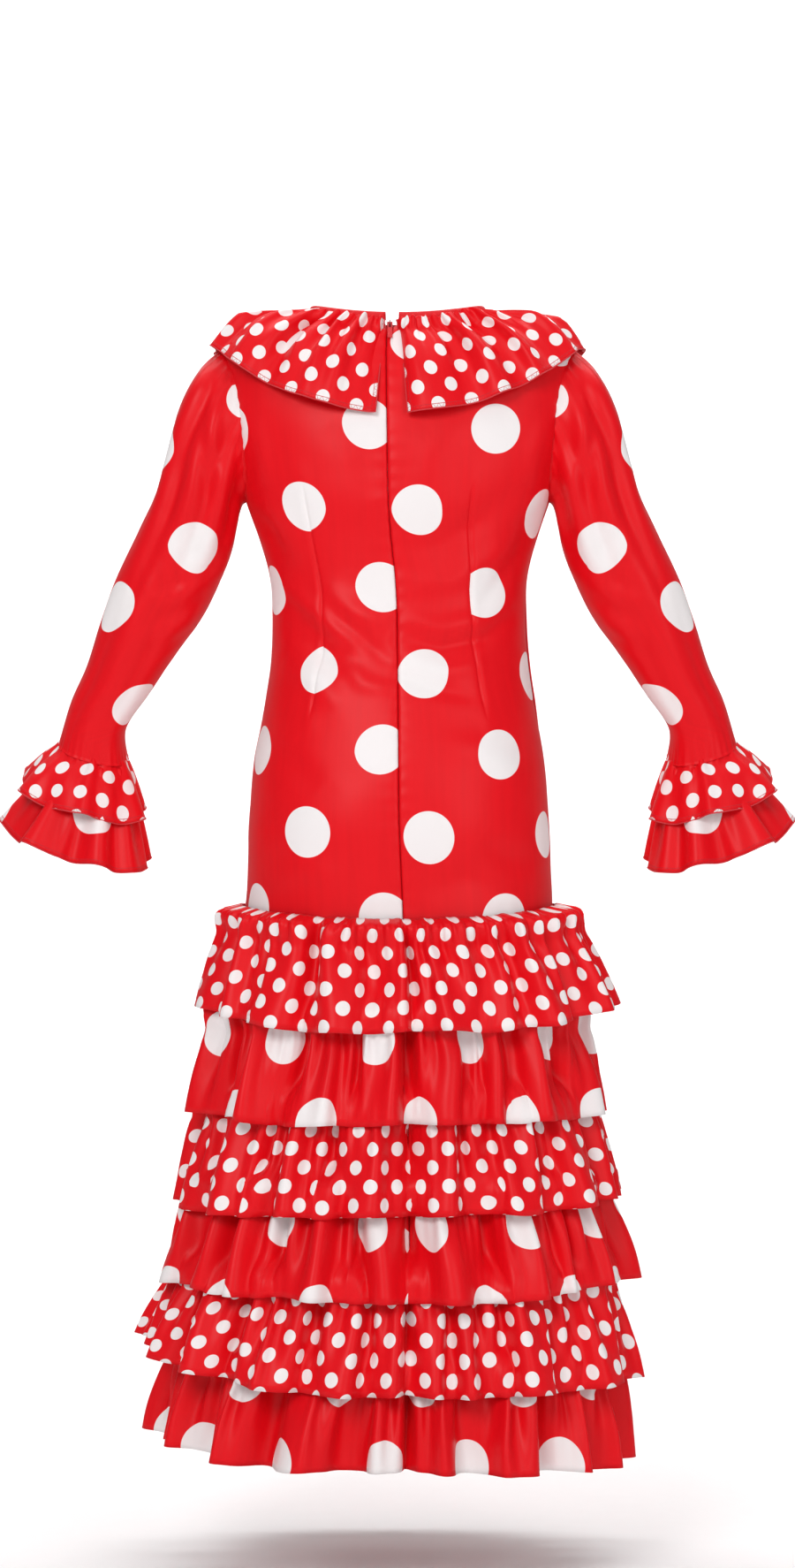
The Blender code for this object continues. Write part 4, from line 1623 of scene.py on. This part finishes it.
@dataclass(frozen=True)
class Tier:
    """One skirt tier.

    Attributes:
        name: The CAD node's name.
        seam_back: Height of its seam at the centre back.
        seam_side: Height of its seam at the sides.
        back_z: Height of its hem at the centre back, and left_z, right_z and front_z likewise.
        half_width: Half of its hem's width, and back and front its depths from the middle.
        shift_x: How far its hem is shifted towards the wearer's left.
        flare: How soon it spreads: the lower, the nearer to the seam.
        flat_length: Length of the strip before it is gathered.
        dots: Its print.
        print_shift: Where the print starts on the strip.
        gathers: Its folds.
    """

    name: str
    seam_back: float
    seam_side: float
    back_z: float
    left_z: float
    right_z: float
    front_z: float
    half_width: float
    back: float
    front: float
    shift_x: float
    flare: float
    flat_length: float
    dots: DotPrint
    print_shift: tuple
    gathers: Gathers

    SEAM_STANDOFF = 0.0012
    HEM_WAVES = ((13, 0.0030), (37, 0.0018))  # how many there are, and how high they are
    # The groove of the seam at the centre back: its width, and its depth by how low the tier is sewn on.
    GROOVE_WIDTH = 0.008
    GROOVE_DEPTHS = ((0.60, 0.0065), (0.80, 0.0125))

    def form(self, drop: Array, count: int = 1200) -> Array:
        """The smooth form that the tier is laid on, starting and ending at the centre back seam.

        Args:
            drop: Share of the tier's height, of each row.
            count: How many steps there are round it.

        Returns:
            The points, rows by steps by 3.
        """
        place = FORM.place_at_z(self.seam_side)
        start = float(FORM.angle_at(np.array(place), FORM.seam_x(np.array(place))))
        angle = start + 2 * math.pi * np.arange(count + 1) / count
        s, c = np.sin(angle), np.cos(angle)
        seam = FORM.point(np.full(angle.shape, place), angle)
        seam[:, :2] *= 1 + self.SEAM_STANDOFF / np.linalg.norm(seam[:, :2], axis=1, keepdims=True)
        seam[:, 2] = self.seam_side * s * s + self.seam_back * c * c
        side_z = np.where(s > 0, self.left_z, self.right_z)
        sizes = (self.half_width, self.back, self.front, self.back_z, side_z, self.front_z)
        hem = section(angle, sizes)
        hem[:, 0] += self.shift_x
        share = np.arange(count + 1) / count
        for seed, (waves, height) in enumerate(self.HEM_WAVES, self.gathers.seed + 20):
            hem[:, 2] += height * uneven_line(seed, waves, share)
        t = drop[:, None, None]
        points = seam[None] * (1 - t) + hem[None] * t
        points[..., :2] = seam[None, :, :2] * (1 - t**self.flare) + hem[None, :, :2] * t**self.flare
        return points

    def grid(self, drop: Array, columns: int) -> ClothGrid:
        """The tier's grid.

        Args:
            drop: Share of the tier's height, of each row.
            columns: How many columns.

        Returns:
            The grid, closed at the centre back seam.
        """
        along = np.arange(columns) / columns
        form = self.form(drop)
        points = gathered(form, self.gathers, along, drop, self.flat_length, 0.6, 0.2)
        down = run_lengths(form, 0).mean(axis=1)[:, None]
        at_seam = bell(np.minimum(along, 1 - along)[None, :] * self.flat_length, self.GROOVE_WIDTH)
        depth = read_table(self.GROOVE_DEPTHS, -self.seam_side)
        away = points[..., :2] / np.linalg.norm(points[..., :2], axis=2, keepdims=True)
        points[..., :2] -= away * (depth * at_seam * smooth_step(0, 0.4, drop[:, None]))[..., None]
        length = np.arange(columns + 1)[None, :] / columns * self.flat_length
        shift_x, shift_y = self.print_shift
        cloth = paired(length + shift_x, shift_y - down)
        edge = paired(length, down[-1] - down)
        return ClothGrid(points, cloth, closed=True, edge=edge)


TIERS = (
    Tier(
        "tier_1", -0.520, -0.511, -0.613, -0.594, -0.594, -0.613, 0.180, 0.147, 0.141, -0.008, 0.62,
        1.320, SMALL_DOTS, (0.004, 0.003), Gathers(100, 104, 44, 19),
    ),
    Tier(
        "tier_2", -0.590, -0.590, -0.689, -0.685, -0.685, -0.689, 0.176, 0.149, 0.143, 0.002, 0.50,
        1.536, LARGE_DOTS, (0.020, 0.105), Gathers(200, 110, 44, 18, 0.26),
    ),
    Tier(
        "tier_3", -0.664, -0.664, -0.765, -0.764, -0.758, -0.765, 0.191, 0.160, 0.154, -0.001, 0.55,
        1.500, SMALL_DOTS, (0.002, 0.006), Gathers(300, 112, 48, 20),
    ),
    Tier(
        "tier_4", -0.735, -0.735, -0.833, -0.828, -0.828, -0.833, 0.197, 0.168, 0.162, 0.003, 0.55,
        1.744, LARGE_DOTS, (-0.049, 0.044), Gathers(400, 120, 50, 20, 0.26),
    ),
    Tier(
        "tier_5", -0.808, -0.808, -0.9065, -0.880, -0.908, -0.9065, 0.213, 0.178, 0.172, 0.007, 0.55,
        1.740, SMALL_DOTS, (0.009, 0.001), Gathers(500, 124, 54, 23),
    ),
    Tier(
        "tier_6", -0.879, -0.879, -0.972, -0.957, -0.982, -0.972, 0.203, 0.173, 0.167, 0.006, 0.45,
        1.773, LARGE_DOTS, (-0.027, 0.096), Gathers(600, 124, 52, 21, 0.26),
    ),
)


@dataclass
class Clearance:
    """How far out the tier below reaches, by direction and height, so that the one over it clears it.

    Attributes:
        directions: How many columns the map has, all the way round.
        pitch: The height of its rows.
        gap: The air left between the tiers.
        top: The map's upper end.
        bottom: Its lower end.
    """

    directions: int = 360
    pitch: float = 0.0025
    gap: float = 0.0022
    top: float = -0.45
    bottom: float = -1.05

    def __post_init__(self) -> None:
        """Starts with nothing below."""
        self.reach = np.zeros((int((self.top - self.bottom) / self.pitch), self.directions))

    def cells(self, points: Array) -> tuple[Array, Array, Array]:
        """Finds where points lie on the map.

        Args:
            points: The points.

        Returns:
            The map's row and column of each point, and the point's distance from the middle line.
        """
        radius = np.hypot(points[..., 0], points[..., 1])
        turn = np.arctan2(points[..., 0], points[..., 1]) / (2 * math.pi) % 1.0
        column = (turn * self.directions).astype(int) % self.directions
        row = np.clip(((self.top - points[..., 2]) / self.pitch).astype(int), 0, len(self.reach) - 1)
        return row, column, radius

    def record(self, points: Array) -> None:
        """Takes a finished tier in, each of its points reaching over the cells around it too.

        Args:
            points: The tier's points.
        """
        row, column, radius = self.cells(points)
        fresh = np.zeros_like(self.reach)
        np.maximum.at(fresh, (row, column), radius)
        for _ in range(2):
            around = [np.roll(fresh, step, axis=1) for step in (-1, 1)]
            above, below = np.roll(fresh, 1, axis=0), np.roll(fresh, -1, axis=0)
            fresh = np.maximum.reduce([fresh, *around, above, below])
        self.reach = fresh

    def clear(self, points: Array, drop: Array) -> Array:
        """Moves the next tier up out, where it would be inside the one below.

        Args:
            points: Its points.
            drop: Share of its height, of each row.

        Returns:
            The moved points.
        """
        row, column, radius = self.cells(points)
        needed = np.maximum(self.reach[row, column] + self.gap - radius, 0)
        needed = needed * smooth_step(0.0, 0.3, drop)[:, None]
        short = needed
        for _ in range(4):
            short = (2 * short + np.roll(short, 1, axis=1) + np.roll(short, -1, axis=1)) / 4
            short[1:-1] = (2 * short[1:-1] + short[:-2] + short[2:]) / 4
            short = np.maximum(short, 0.9 * needed)
        moved = points.copy()
        moved[..., :2] *= 1 + (short / radius)[..., None]
        return moved


@dataclass
class Skirt:
    """The six tiers, made from the lowest up so that each lies over the next."""

    rows: int = 27
    column_width: float = 0.0023

    def build(self, wardrobe: Wardrobe) -> None:
        """Makes the tiers.

        Args:
            wardrobe: The finishes.
        """
        clearance = Clearance()
        drop = spread_rows(self.rows, 0.35)
        for tier in reversed(TIERS):
            grid = tier.grid(drop, int(tier.flat_length / self.column_width))
            grid.points = clearance.clear(grid.points, drop)
            clearance.record(grid.points)
            printed_piece(wardrobe, tier.name + "_ruffle", grid, tier.name, tier.dots, "gathered")


# Sleeves and cuffs. A section is outer_x, outer_z, inner_x, inner_z, y_mid, half_depth and back_drop.


def section_points(sections: Array, turns: Array) -> Array:
    """Points round sections of a sleeve, from its inner side by the back.

    Args:
        sections: The sections, one a row.
        turns: How far round, in radians: one row for all sections, or a row for each.

    Returns:
        The points, sections by turns by 3.
    """
    outer = np.stack([sections[:, 0], sections[:, 4], sections[:, 1]], axis=1)[:, None]
    inner = np.stack([sections[:, 2], sections[:, 4], sections[:, 3]], axis=1)[:, None]
    backward = np.stack([0 * sections[:, 5], sections[:, 5], -sections[:, 6]], axis=1)[:, None]
    s, c = np.sin(turns)[..., None], np.cos(turns)[..., None]
    if s.ndim == 2:
        s, c = s[None], c[None]
    spoke = backward * s * (1 + FULLNESS * c * c) - (outer - inner) / 2 * c * (1 + FULLNESS * s * s)
    return (outer + inner) / 2 + spoke


@dataclass
class Sleeve:
    """A set-in sleeve, with its long soft folds and the wrinkles at its elbow."""

    rows: int = 124
    columns: int = 108
    sections: tuple = (
        (0.1700, -0.051, 0.1335, -0.1668, 0.000, 0.0495, 0.000),
        (0.1880, -0.086, 0.1360, -0.1735, 0.000, 0.0500, 0.000),
        (0.2055, -0.150, 0.1385, -0.1850, -0.001, 0.0475, 0.000),
        (0.2215, -0.187, 0.1450, -0.2130, -0.003, 0.0440, 0.001),
        (0.2425, -0.230, 0.1650, -0.2570, -0.008, 0.0420, 0.003),
        (0.2560, -0.267, 0.1905, -0.2930, -0.012, 0.0380, 0.006),
        (0.2690, -0.3055, 0.2140, -0.3270, -0.017, 0.0330, 0.008),
        (0.2830, -0.336, 0.2345, -0.3580, -0.021, 0.0300, 0.009),
        (0.2930, -0.371, 0.2345, -0.3855, -0.025, 0.0315, 0.010),
    )
    # (turn in degrees, place down the sleeve, reach round, reach down, height): long ridges and troughs.
    folds: tuple = (
        (60, 2.2, 11, 2.4, 0.0022), (78, 2.6, 8, 2.2, -0.0022), (98, 2.0, 10, 2.0, 0.0018),
        (118, 3.0, 9, 2.6, -0.0016), (140, 2.4, 12, 2.0, 0.0016), (35, 1.8, 9, 1.6, -0.0018),
        (20, 2.6, 10, 1.6, 0.0014), (105, 6.4, 16, 1.8, 0.0016), (70, 6.6, 12, 1.5, -0.0013),
        (135, 6.8, 12, 1.6, -0.0012), (235, 2.6, 11, 2.4, -0.0020), (265, 2.2, 10, 2.2, 0.0020),
        (300, 2.8, 12, 2.4, -0.0016), (330, 2.2, 11, 2.0, 0.0014), (250, 6.2, 16, 1.8, 0.0015),
        (290, 6.6, 12, 1.5, -0.0013),
    )
    # (turn, place, slope of place against turn, reach round, reach down, height): the elbow's wrinkles.
    wrinkles: tuple = (
        (66, 4.55, 0.012, 26, 0.16, -0.0020), (74, 4.90, 0.010, 24, 0.17, 0.0019),
        (62, 5.20, 0.013, 26, 0.15, -0.0018), (54, 5.50, 0.010, 24, 0.17, 0.0016),
        (40, 5.80, 0.008, 22, 0.16, -0.0014), (30, 4.30, 0.006, 22, 0.18, 0.0015),
        (36, 3.70, -0.008, 22, 0.18, -0.0013), (318, 4.60, -0.010, 26, 0.16, -0.0018),
        (308, 4.95, -0.010, 26, 0.17, 0.0017), (314, 5.30, -0.012, 26, 0.15, -0.0016),
        (326, 5.65, -0.008, 24, 0.17, 0.0014),
    )
    # Of one dot: its distance towards the body from the middle of the back, and its height.
    print_origin: tuple = (0.0117, -0.2048)
    # (depth under the shoulders, shift) of the print round the arm, and down it.
    print_drift: tuple = (
        (0.21, 0.001), (0.24, -0.018), (0.27, -0.017), (0.31, -0.015), (0.352, -0.015), (0.372, 0.014),
    )
    print_sinking: tuple = ((0.222, -0.003), (0.235, -0.001), (0.275, -0.001), (0.310, 0.008))
    fold_height: float = 1.5  # times the folds' listed heights, and likewise for the wrinkles
    wrinkle_height: float = 0.9
    tuck: float = 0.0026  # how far the sleeve's top goes in under the body's armhole edge

    def grid(self) -> ClothGrid:
        """The wearer's left sleeve."""
        turns = np.arange(self.columns) / self.columns * 2 * math.pi
        rings = np.concatenate([FORM.armhole(turns)[None], section_points(np.array(self.sections), turns)])
        place = crowded(self.rows, 0.7) * (len(rings) - 1)
        points = along_table(rings, place)
        smooth = np.concatenate([points, points[:, :1]], axis=1)
        lift = self.lift(turns, place)
        creases = creased(SLEEVE_CREASES, points[..., 0], points[..., 2])
        lift += creases * smooth_step(0.2, 0.5, np.sin(turns))[None, :]
        points = points + outward(points, True) * lift[..., None]
        points[..., 0] -= self.tuck * bell(place, 0.045)[:, None]
        across, down = girths(smooth), run_lengths(smooth, 0)
        back = self.columns // 4
        level = -smooth[:, back, 2]
        drift = read_table(self.print_drift, level)[:, None]
        sinking = read_table(self.print_sinking, level)[:, None]
        first = across - across[:, back : back + 1] + self.print_origin[0] - drift
        start = np.interp(-self.print_origin[1], level, down[:, back])
        second = start - down[-1, back] + down[-1] - down + sinking
        return ClothGrid(points, paired(first, second), closed=True)

    def lift(self, turns: Array, place: Array) -> Array:
        """How far the sleeve's folds, wrinkles and puckers stand out.

        Args:
            turns: How far round each column is, in radians.
            place: Place down the sleeve of each row.

        Returns:
            The distance outwards, rows by columns.
        """
        degrees, row = np.degrees(turns)[None, :], place[:, None]
        share = turns[None, :] / (2 * math.pi)
        lift = np.zeros((len(place), len(turns)))
        for turn, middle, reach, down, height in self.folds:
            away = (degrees - turn + 180) % 360 - 180
            lift += self.fold_height * height * np.exp(-((away / reach) ** 2) - ((row - middle) / down) ** 4)
        for turn, middle, slope, reach, down, height in self.wrinkles:
            away = (degrees - turn + 180) % 360 - 180
            off = (row - middle - slope * away) / down
            lift += self.wrinkle_height * height * np.exp(-((away / reach) ** 2) - off**2)
        lift *= smooth_step(0.0, 0.9, row)
        gather = np.cos(24 * turns[None, :] + 2.5 * uneven_line(41, 17, share))
        lift += 0.0008 * gather * bell(row, 0.55) * smooth_step(0, 0.12, row)
        last = len(self.sections)
        cuff = np.cos(30 * turns[None, :] + 3 * uneven_line(42, 19, share))
        lift += 0.0005 * cuff * bell(row - last, 0.5)
        lift += 0.0008 * smooth_step(last - 0.12, last, row)
        return lift + 0.0005 * uneven_field(43, degrees / 360 * 9, row, 1.0) * smooth_step(0, 1, row)

    def build(self, wardrobe: Wardrobe) -> None:
        """Makes both sleeves.

        Args:
            wardrobe: The finishes.
        """
        left = self.grid()
        right = left.mirrored()
        for side, grid in (("left", left), ("right", right)):
            node = f"sleeve_{side}"
            printed_piece(wardrobe, node + "_cloth", grid, node, LARGE_DOTS, "hung")


@dataclass(frozen=True)
class CuffRuffle:
    """A ruffle round the end of a sleeve.

    Attributes:
        name: Which of the two it is.
        sections: Its sections, from the seam to the hem.
        fullness: Its cut length against the seam's, and against the hem's: it is cut as a part of a ring.
        dots: Its print.
        print_turn: How far the print is turned, in radians.
        print_shift: Where the print starts.
        gathers: Its folds.
    """

    name: str
    sections: tuple
    fullness: tuple
    dots: DotPrint
    print_turn: float
    print_shift: tuple
    gathers: Gathers
    rows: int = 26
    column_width: float = 0.0021

    def grid(self) -> ClothGrid:
        """The wearer's left one."""
        drop = spread_rows(self.rows, 0.4)
        table = along_table(np.array(self.sections), drop * (len(self.sections) - 1))
        share = np.arange(401) / 400
        form = section_points(table, 2 * math.pi * share)
        axis = form[-1, :-1].mean(axis=0) - form[0, :-1].mean(axis=0)
        axis /= np.linalg.norm(axis)
        wave = 0.0020 * uneven_line(self.gathers.seed + 20, 9, share)[None, :] * drop[:, None]
        form = form + axis * wave[..., None]
        run, down = run_lengths(form, 1)[:, -1], run_lengths(form, 0).mean(axis=1)
        seam, hem = run[0] * self.fullness[0], run[-1] * self.fullness[1]
        cut = seam + (hem - seam) * down / down[-1]
        columns = int(hem / self.column_width)
        along = np.arange(columns) / columns
        points = gathered(form, self.gathers, along, drop, cut, 0.4)
        spread = (hem - seam) / down[-1]
        turn = spread * (np.arange(columns + 1)[None, :] / columns - 0.25) + self.print_turn
        radius = (seam / spread + down)[:, None]
        middle_x = radius[-1, 0] * math.sin(self.print_turn)
        middle_y = radius[-1, 0] * math.cos(self.print_turn)
        across = self.print_shift[0] + radius * np.sin(turn) - middle_x
        cloth = paired(across, self.print_shift[1] - radius * np.cos(turn) + middle_y)
        length = np.arange(columns + 1)[None, :] / columns * hem
        edge = paired(length, (down[-1] - down)[:, None])
        return ClothGrid(points, cloth, closed=True, edge=edge)


CUFFS = (
    CuffRuffle(
        "lower",
        (
            (0.2898, -0.3735, 0.2374, -0.3860, -0.025, 0.0286, 0.010),
            (0.3120, -0.4050, 0.2250, -0.4310, -0.029, 0.0440, 0.012),
            (0.3425, -0.4400, 0.2150, -0.4760, -0.033, 0.0600, 0.014),
        ),
        (1.10, 1.14), LARGE_DOTS, 0.0, (0.075, -0.1180), Gathers(710, 26, 13, 7, 0.20),
    ),
    CuffRuffle(
        "upper",
        (
            (0.2895, -0.3690, 0.2377, -0.3823, -0.025, 0.0286, 0.010),
            (0.2960, -0.3740, 0.2335, -0.3880, -0.025, 0.0328, 0.010),
            (0.3090, -0.3830, 0.2285, -0.4000, -0.0265, 0.0410, 0.0115),
            (0.3190, -0.3925, 0.2235, -0.4150, -0.0277, 0.0472, 0.0127),
            (0.3290, -0.4040, 0.2180, -0.4330, -0.029, 0.0530, 0.014),
        ),
        (1.06, 1.10), SMALL_DOTS, 0.785, (0.0921, -0.0922), Gathers(760, 26, 12, 6, 0.30),
    ),
)


@dataclass
class Cuffs:
    """Both ruffles of both sleeves."""

    def build(self, wardrobe: Wardrobe) -> None:
        """Makes the four ruffles and their edges.

        Args:
            wardrobe: The finishes.
        """
        for ruffle in CUFFS:
            left = ruffle.grid()
            for side, grid in (("left", left), ("right", left.mirrored())):
                node = f"cuff_{ruffle.name}_{side}"
                printed_piece(wardrobe, node + "_ruffle", grid, node, ruffle.dots, "gathered", bead=True)


@dataclass
class Collar:
    """The neck ruffle: one gathered strip, split at the centre back."""

    # half_width, back, front, z_back, z_side, z_front, left_end_x, right_end_x
    sections: tuple = (
        (0.0790, 0.0495, 0.0635, -0.0150, -0.0030, -0.0480, 0.0108, 0.0010),
        (0.1030, 0.0630, 0.0760, -0.0270, 0.0010, -0.0580, 0.0125, -0.0020),
        (0.1330, 0.0790, 0.0930, -0.0560, -0.0060, -0.0850, 0.0150, -0.0055),
        (0.1590, 0.0920, 0.1080, -0.0950, -0.0310, -0.1240, 0.0185, -0.0085),
    )
    rows: int = 42
    columns: int = 440
    flat_length: float = 0.957
    gathers: Gathers = Gathers(800, 88, 36, 15, 0.30)
    print_shift: tuple = (-0.002, 0.009)
    # Folds that rise over this height are pressed down, by this share of what is over it.
    flat_above: float = -0.0035
    flattening: float = 0.75

    def form(self, drop: Array, count: int = 1200) -> Array:
        """The smooth form that the collar is laid on, from its left end round to its right one.

        Args:
            drop: Share of the collar's width, of each row.
            count: How many steps there are round it.

        Returns:
            The points, rows by steps by 3.
        """
        return open_rings(along_table(np.array(self.sections), drop * (len(self.sections) - 1)), count)

    def grid(self) -> ClothGrid:
        """The collar's grid."""
        drop = spread_rows(self.rows, 0.45)
        along = np.linspace(0, 1, self.columns + 1)
        form = self.form(drop)
        points = gathered(form, self.gathers, along, drop, self.flat_length, 0.0, 0.5)
        points[..., 2] -= self.flattening * np.clip(points[..., 2] - self.flat_above, 0.0, None)
        down = run_lengths(form, 0).mean(axis=1)[:, None]
        length = along[None, :] * self.flat_length
        shift_x, shift_y = self.print_shift
        cloth = paired(length + shift_x, shift_y - down)
        to_end, to_hem = np.minimum(length, self.flat_length - length), down[-1] - down
        nearer = to_end < to_hem
        edge = paired(np.where(nearer, down, length), np.where(nearer, to_end, to_hem))
        return ClothGrid(points, cloth, edge=edge)

    def build(self, wardrobe: Wardrobe) -> None:
        """Makes the collar and its edge.

        Args:
            wardrobe: The finishes.
        """
        node = "collar_ruffle"
        printed_piece(wardrobe, node + "_cloth", self.grid(), node, SMALL_DOTS, "gathered", bead=True)


@dataclass
class NeckBinding:
    """The plain strip folded over the neck edge."""

    columns: int = 220
    lower: tuple = (0.0752, 0.0458, 0.0597, -0.0136, -0.0051, -0.0490, 0.0102, -0.0010)
    upper: tuple = (0.0735, 0.0440, 0.0570, -0.0060, 0.0035, -0.0400, 0.0104, -0.0012)
    wall: float = 0.0005
    # The folded strip's section: distance out in metres, and share of the band's height.
    profile: tuple = (
        (0.0022, -0.10), (0.0030, 0.00), (0.0028, 0.25), (0.0022, 0.55), (0.0014, 0.85), (0.0006, 1.00),
        (-0.0006, 1.03), (-0.0014, 0.95), (-0.0017, 0.70), (-0.0017, 0.35), (-0.0015, 0.05),
    )

    def build(self, wardrobe: Wardrobe) -> None:
        """Makes the band.

        Args:
            wardrobe: The finishes.
        """
        low, high = open_rings(np.array([self.lower, self.upper]), self.columns)
        up = high - low
        away = low * np.array([1.0, 1.0, 0.0])
        away /= np.linalg.norm(away, axis=1, keepdims=True)
        share = np.linspace(0, 1, self.columns + 1)
        pucker = 0.00035 * np.cos(2 * math.pi * 46 * share + 3 * uneven_line(51, 31, share))
        rows = []
        for out, height in reversed(self.profile):
            puckered = out + pucker * (1 if out > 0 else 0.3)
            rows.append(low + up * height + away * puckered[:, None])
        points = np.array(rows)
        length = run_lengths(points, 1)[len(rows) // 2]
        down = run_lengths(points, 0)[:, self.columns // 2]
        cloth = paired(length[None, :], -down[:, None])
        grid = ClothGrid(points, cloth)
        satin = wardrobe["binding_satin"]
        piece = cloth_piece("neck_binding_strip", grid, satin, satin, self.wall)
        declare(piece, grid, "neck_binding")


@dataclass
class Zip:
    """The centre back zip: the CAD tape, slider and tab get their finish, and the coil is made here."""

    turns: int = 190
    steps: int = 6  # of the wire in each turn
    coil_radius: float = 0.00042
    coil_width: float = 0.0016
    coil_height: float = 0.0005
    depth: float = 0.0034
    top: float = 15.2  # places among the form's sections
    bottom: float = 6.1

    def coil_path(self) -> Array:
        """The coil's wire, winding from side to side down the seam."""
        count = self.turns * self.steps
        place = np.linspace(self.top, self.bottom, count)
        x = FORM.seam_x(place)
        middle = FORM.point(place, FORM.angle_at(place, x))
        slope = np.gradient(middle, axis=0)
        inward = np.stack([np.zeros_like(x), slope[:, 2], -slope[:, 1]], axis=1)
        inward /= np.linalg.norm(inward, axis=1, keepdims=True)
        turn = np.arange(count) * 2 * math.pi / self.steps
        path = middle + inward * (self.depth + self.coil_height * np.cos(turn))[:, None]
        path[:, 0] += self.coil_width * np.sin(turn)
        return path

    def build(self, wardrobe: Wardrobe) -> None:
        """Makes the coil and dresses the CAD pieces.

        Args:
            wardrobe: The finishes.
        """
        coil = tube_piece("zip_coil", self.coil_path(), self.coil_radius, wardrobe["coil_nylon"])
        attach(coil, BODY)
        # The slider's finish holds painted shade: its enamel is darker than the tab's.
        finishes = {"zip_tape": "zip_tape_weave", "zip_slider": "slider_enamel_painted_shade", "zip_pull": "tab_enamel"}
        for node, finish in finishes.items():
            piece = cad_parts[node]
            for slot in piece.material_slots:
                slot.material = wardrobe[finish]
        LOG.info("zip: coil of %d turns", self.turns)


@dataclass
class Studio:
    """The pale floor and backdrop, the soft lights and the camera."""

    floor: float = -1.075
    camera_distance: float = 3.4
    camera_height: float = -0.4066
    frame_height: float = 1.34824
    sensor: float = 36.0
    floor_rows: tuple = (6.0, 3.0, 0.5, -1.0)  # y of the floor's rows. It starts to rise at the last
    curve_radius: float = 2.0
    curve_steps: int = 24
    wall_height: float = 5.0
    columns: tuple = (-7.0, 0.0, 7.0)
    # name, place, size, power, and what it is aimed at
    lights: tuple = (
        ("key", (1.1, 3.3, 1.2), (1.3, 1.3), 56, (0.0, 0.0, -0.45)),
        ("fill", (-1.9, 3.0, 0.5), (1.5, 1.9), 26, (0.0, 0.0, -0.45)),
        ("top", (0.0, 0.6, 2.6), (2.0, 1.6), 14, (0.0, 0.0, -0.45)),
        ("front_fill", (0.0, -2.9, 0.9), (2.4, 1.6), 20, (0.0, 0.0, -0.45)),
        ("backdrop_wash", (0.0, -0.9, 2.4), (4.0, 0.8), 90, (0.0, -3.0, -0.3)),
    )
    world_strength: float = 0.30

    def backdrop(self, wardrobe: Wardrobe) -> None:
        """A floor that curves up into a wall behind the dress, facing the camera.

        Args:
            wardrobe: The finishes.
        """
        profile = [(y, 0.0) for y in self.floor_rows]
        start, radius = self.floor_rows[-1], self.curve_radius
        for step in range(1, self.curve_steps + 1):
            turn = QUARTER * step / self.curve_steps
            profile.append((start - radius * math.sin(turn), radius - radius * math.cos(turn)))
        profile.append((start - radius, self.wall_height))
        vertices = [(x, y, self.floor + z) for y, z in profile for x in self.columns]
        width = len(self.columns)
        corners = (width, width + 1, 1, 0)
        first = [i * width + j for i in range(len(profile) - 1) for j in range(width - 1)]
        faces = [tuple(index + corner for corner in corners) for index in first]
        mesh = bpy.data.meshes.new("studio_floor")
        mesh.from_pydata(vertices, [], faces)
        mesh.shade_smooth()
        floor = bpy.data.objects.new("studio_floor", mesh)
        floor.data.materials.append(wardrobe["studio_paper"])
        bpy.context.scene.collection.objects.link(floor)

    def light(self, name: str, place: tuple, size: tuple, power: float, target: tuple) -> None:
        """A soft rectangular light.

        Args:
            name: Its name.
            place: Where it stands.
            size: Its width and height.
            power: Its power in watts.
            target: What it is aimed at.
        """
        data = bpy.data.lights.new(name, "AREA")
        data.shape = "RECTANGLE"
        data.size, data.size_y = size
        data.energy = power
        lamp = bpy.data.objects.new(name, data)
        lamp.location = place
        aim = Vector(target) - Vector(place)
        lamp.rotation_euler = aim.to_track_quat("-Z", "Y").to_euler()
        bpy.context.scene.collection.objects.link(lamp)

    def camera(self) -> None:
        """The camera, level behind the wearer."""
        data = bpy.data.cameras.new("camera")
        data.sensor_fit = "AUTO"
        data.sensor_width = self.sensor
        data.lens = self.sensor * self.camera_distance / self.frame_height
        camera = bpy.data.objects.new("camera", data)
        camera.location = (0, self.camera_distance, self.camera_height)
        camera.rotation_euler = (QUARTER, 0, math.pi)
        bpy.context.scene.collection.objects.link(camera)
        bpy.context.scene.camera = camera

    def build(self, wardrobe: Wardrobe) -> None:
        """Sets the stage.

        Args:
            wardrobe: The finishes.
        """
        self.backdrop(wardrobe)
        for light in self.lights:
            self.light(*light)
        world = bpy.data.worlds.new("studio")
        world.use_nodes = True
        graph = Graph(world.node_tree)
        mirrored = graph.node("LightPath").outputs["Is Glossy Ray"]
        background = world.node_tree.nodes["Background"]
        colour = graph.mix(mirrored, (1.0, 1.0, 1.0, 1.0), (0.3, 0.3, 0.3, 1.0))
        graph.put(background.inputs["Color"], colour)
        background.inputs["Strength"].default_value = self.world_strength
        bpy.context.scene.world = world
        bpy.context.scene.view_settings.view_transform = "Standard"
        bpy.context.scene.view_settings.look = "None"
        self.camera()


def main() -> None:
    """Builds the dress around the frame."""
    logging.basicConfig(level=logging.INFO, format="%(name)s %(message)s")
    build_effects()
    wardrobe = Wardrobe()
    for part in (Bodice(), Sleeve(), Cuffs(), Collar(), NeckBinding(), Skirt(), Zip(), Studio()):
        part.build(wardrobe)
        LOG.info("%s done", type(part).__name__)
    bpy.context.view_layer.update()


if __name__ == "__main__":
    main()
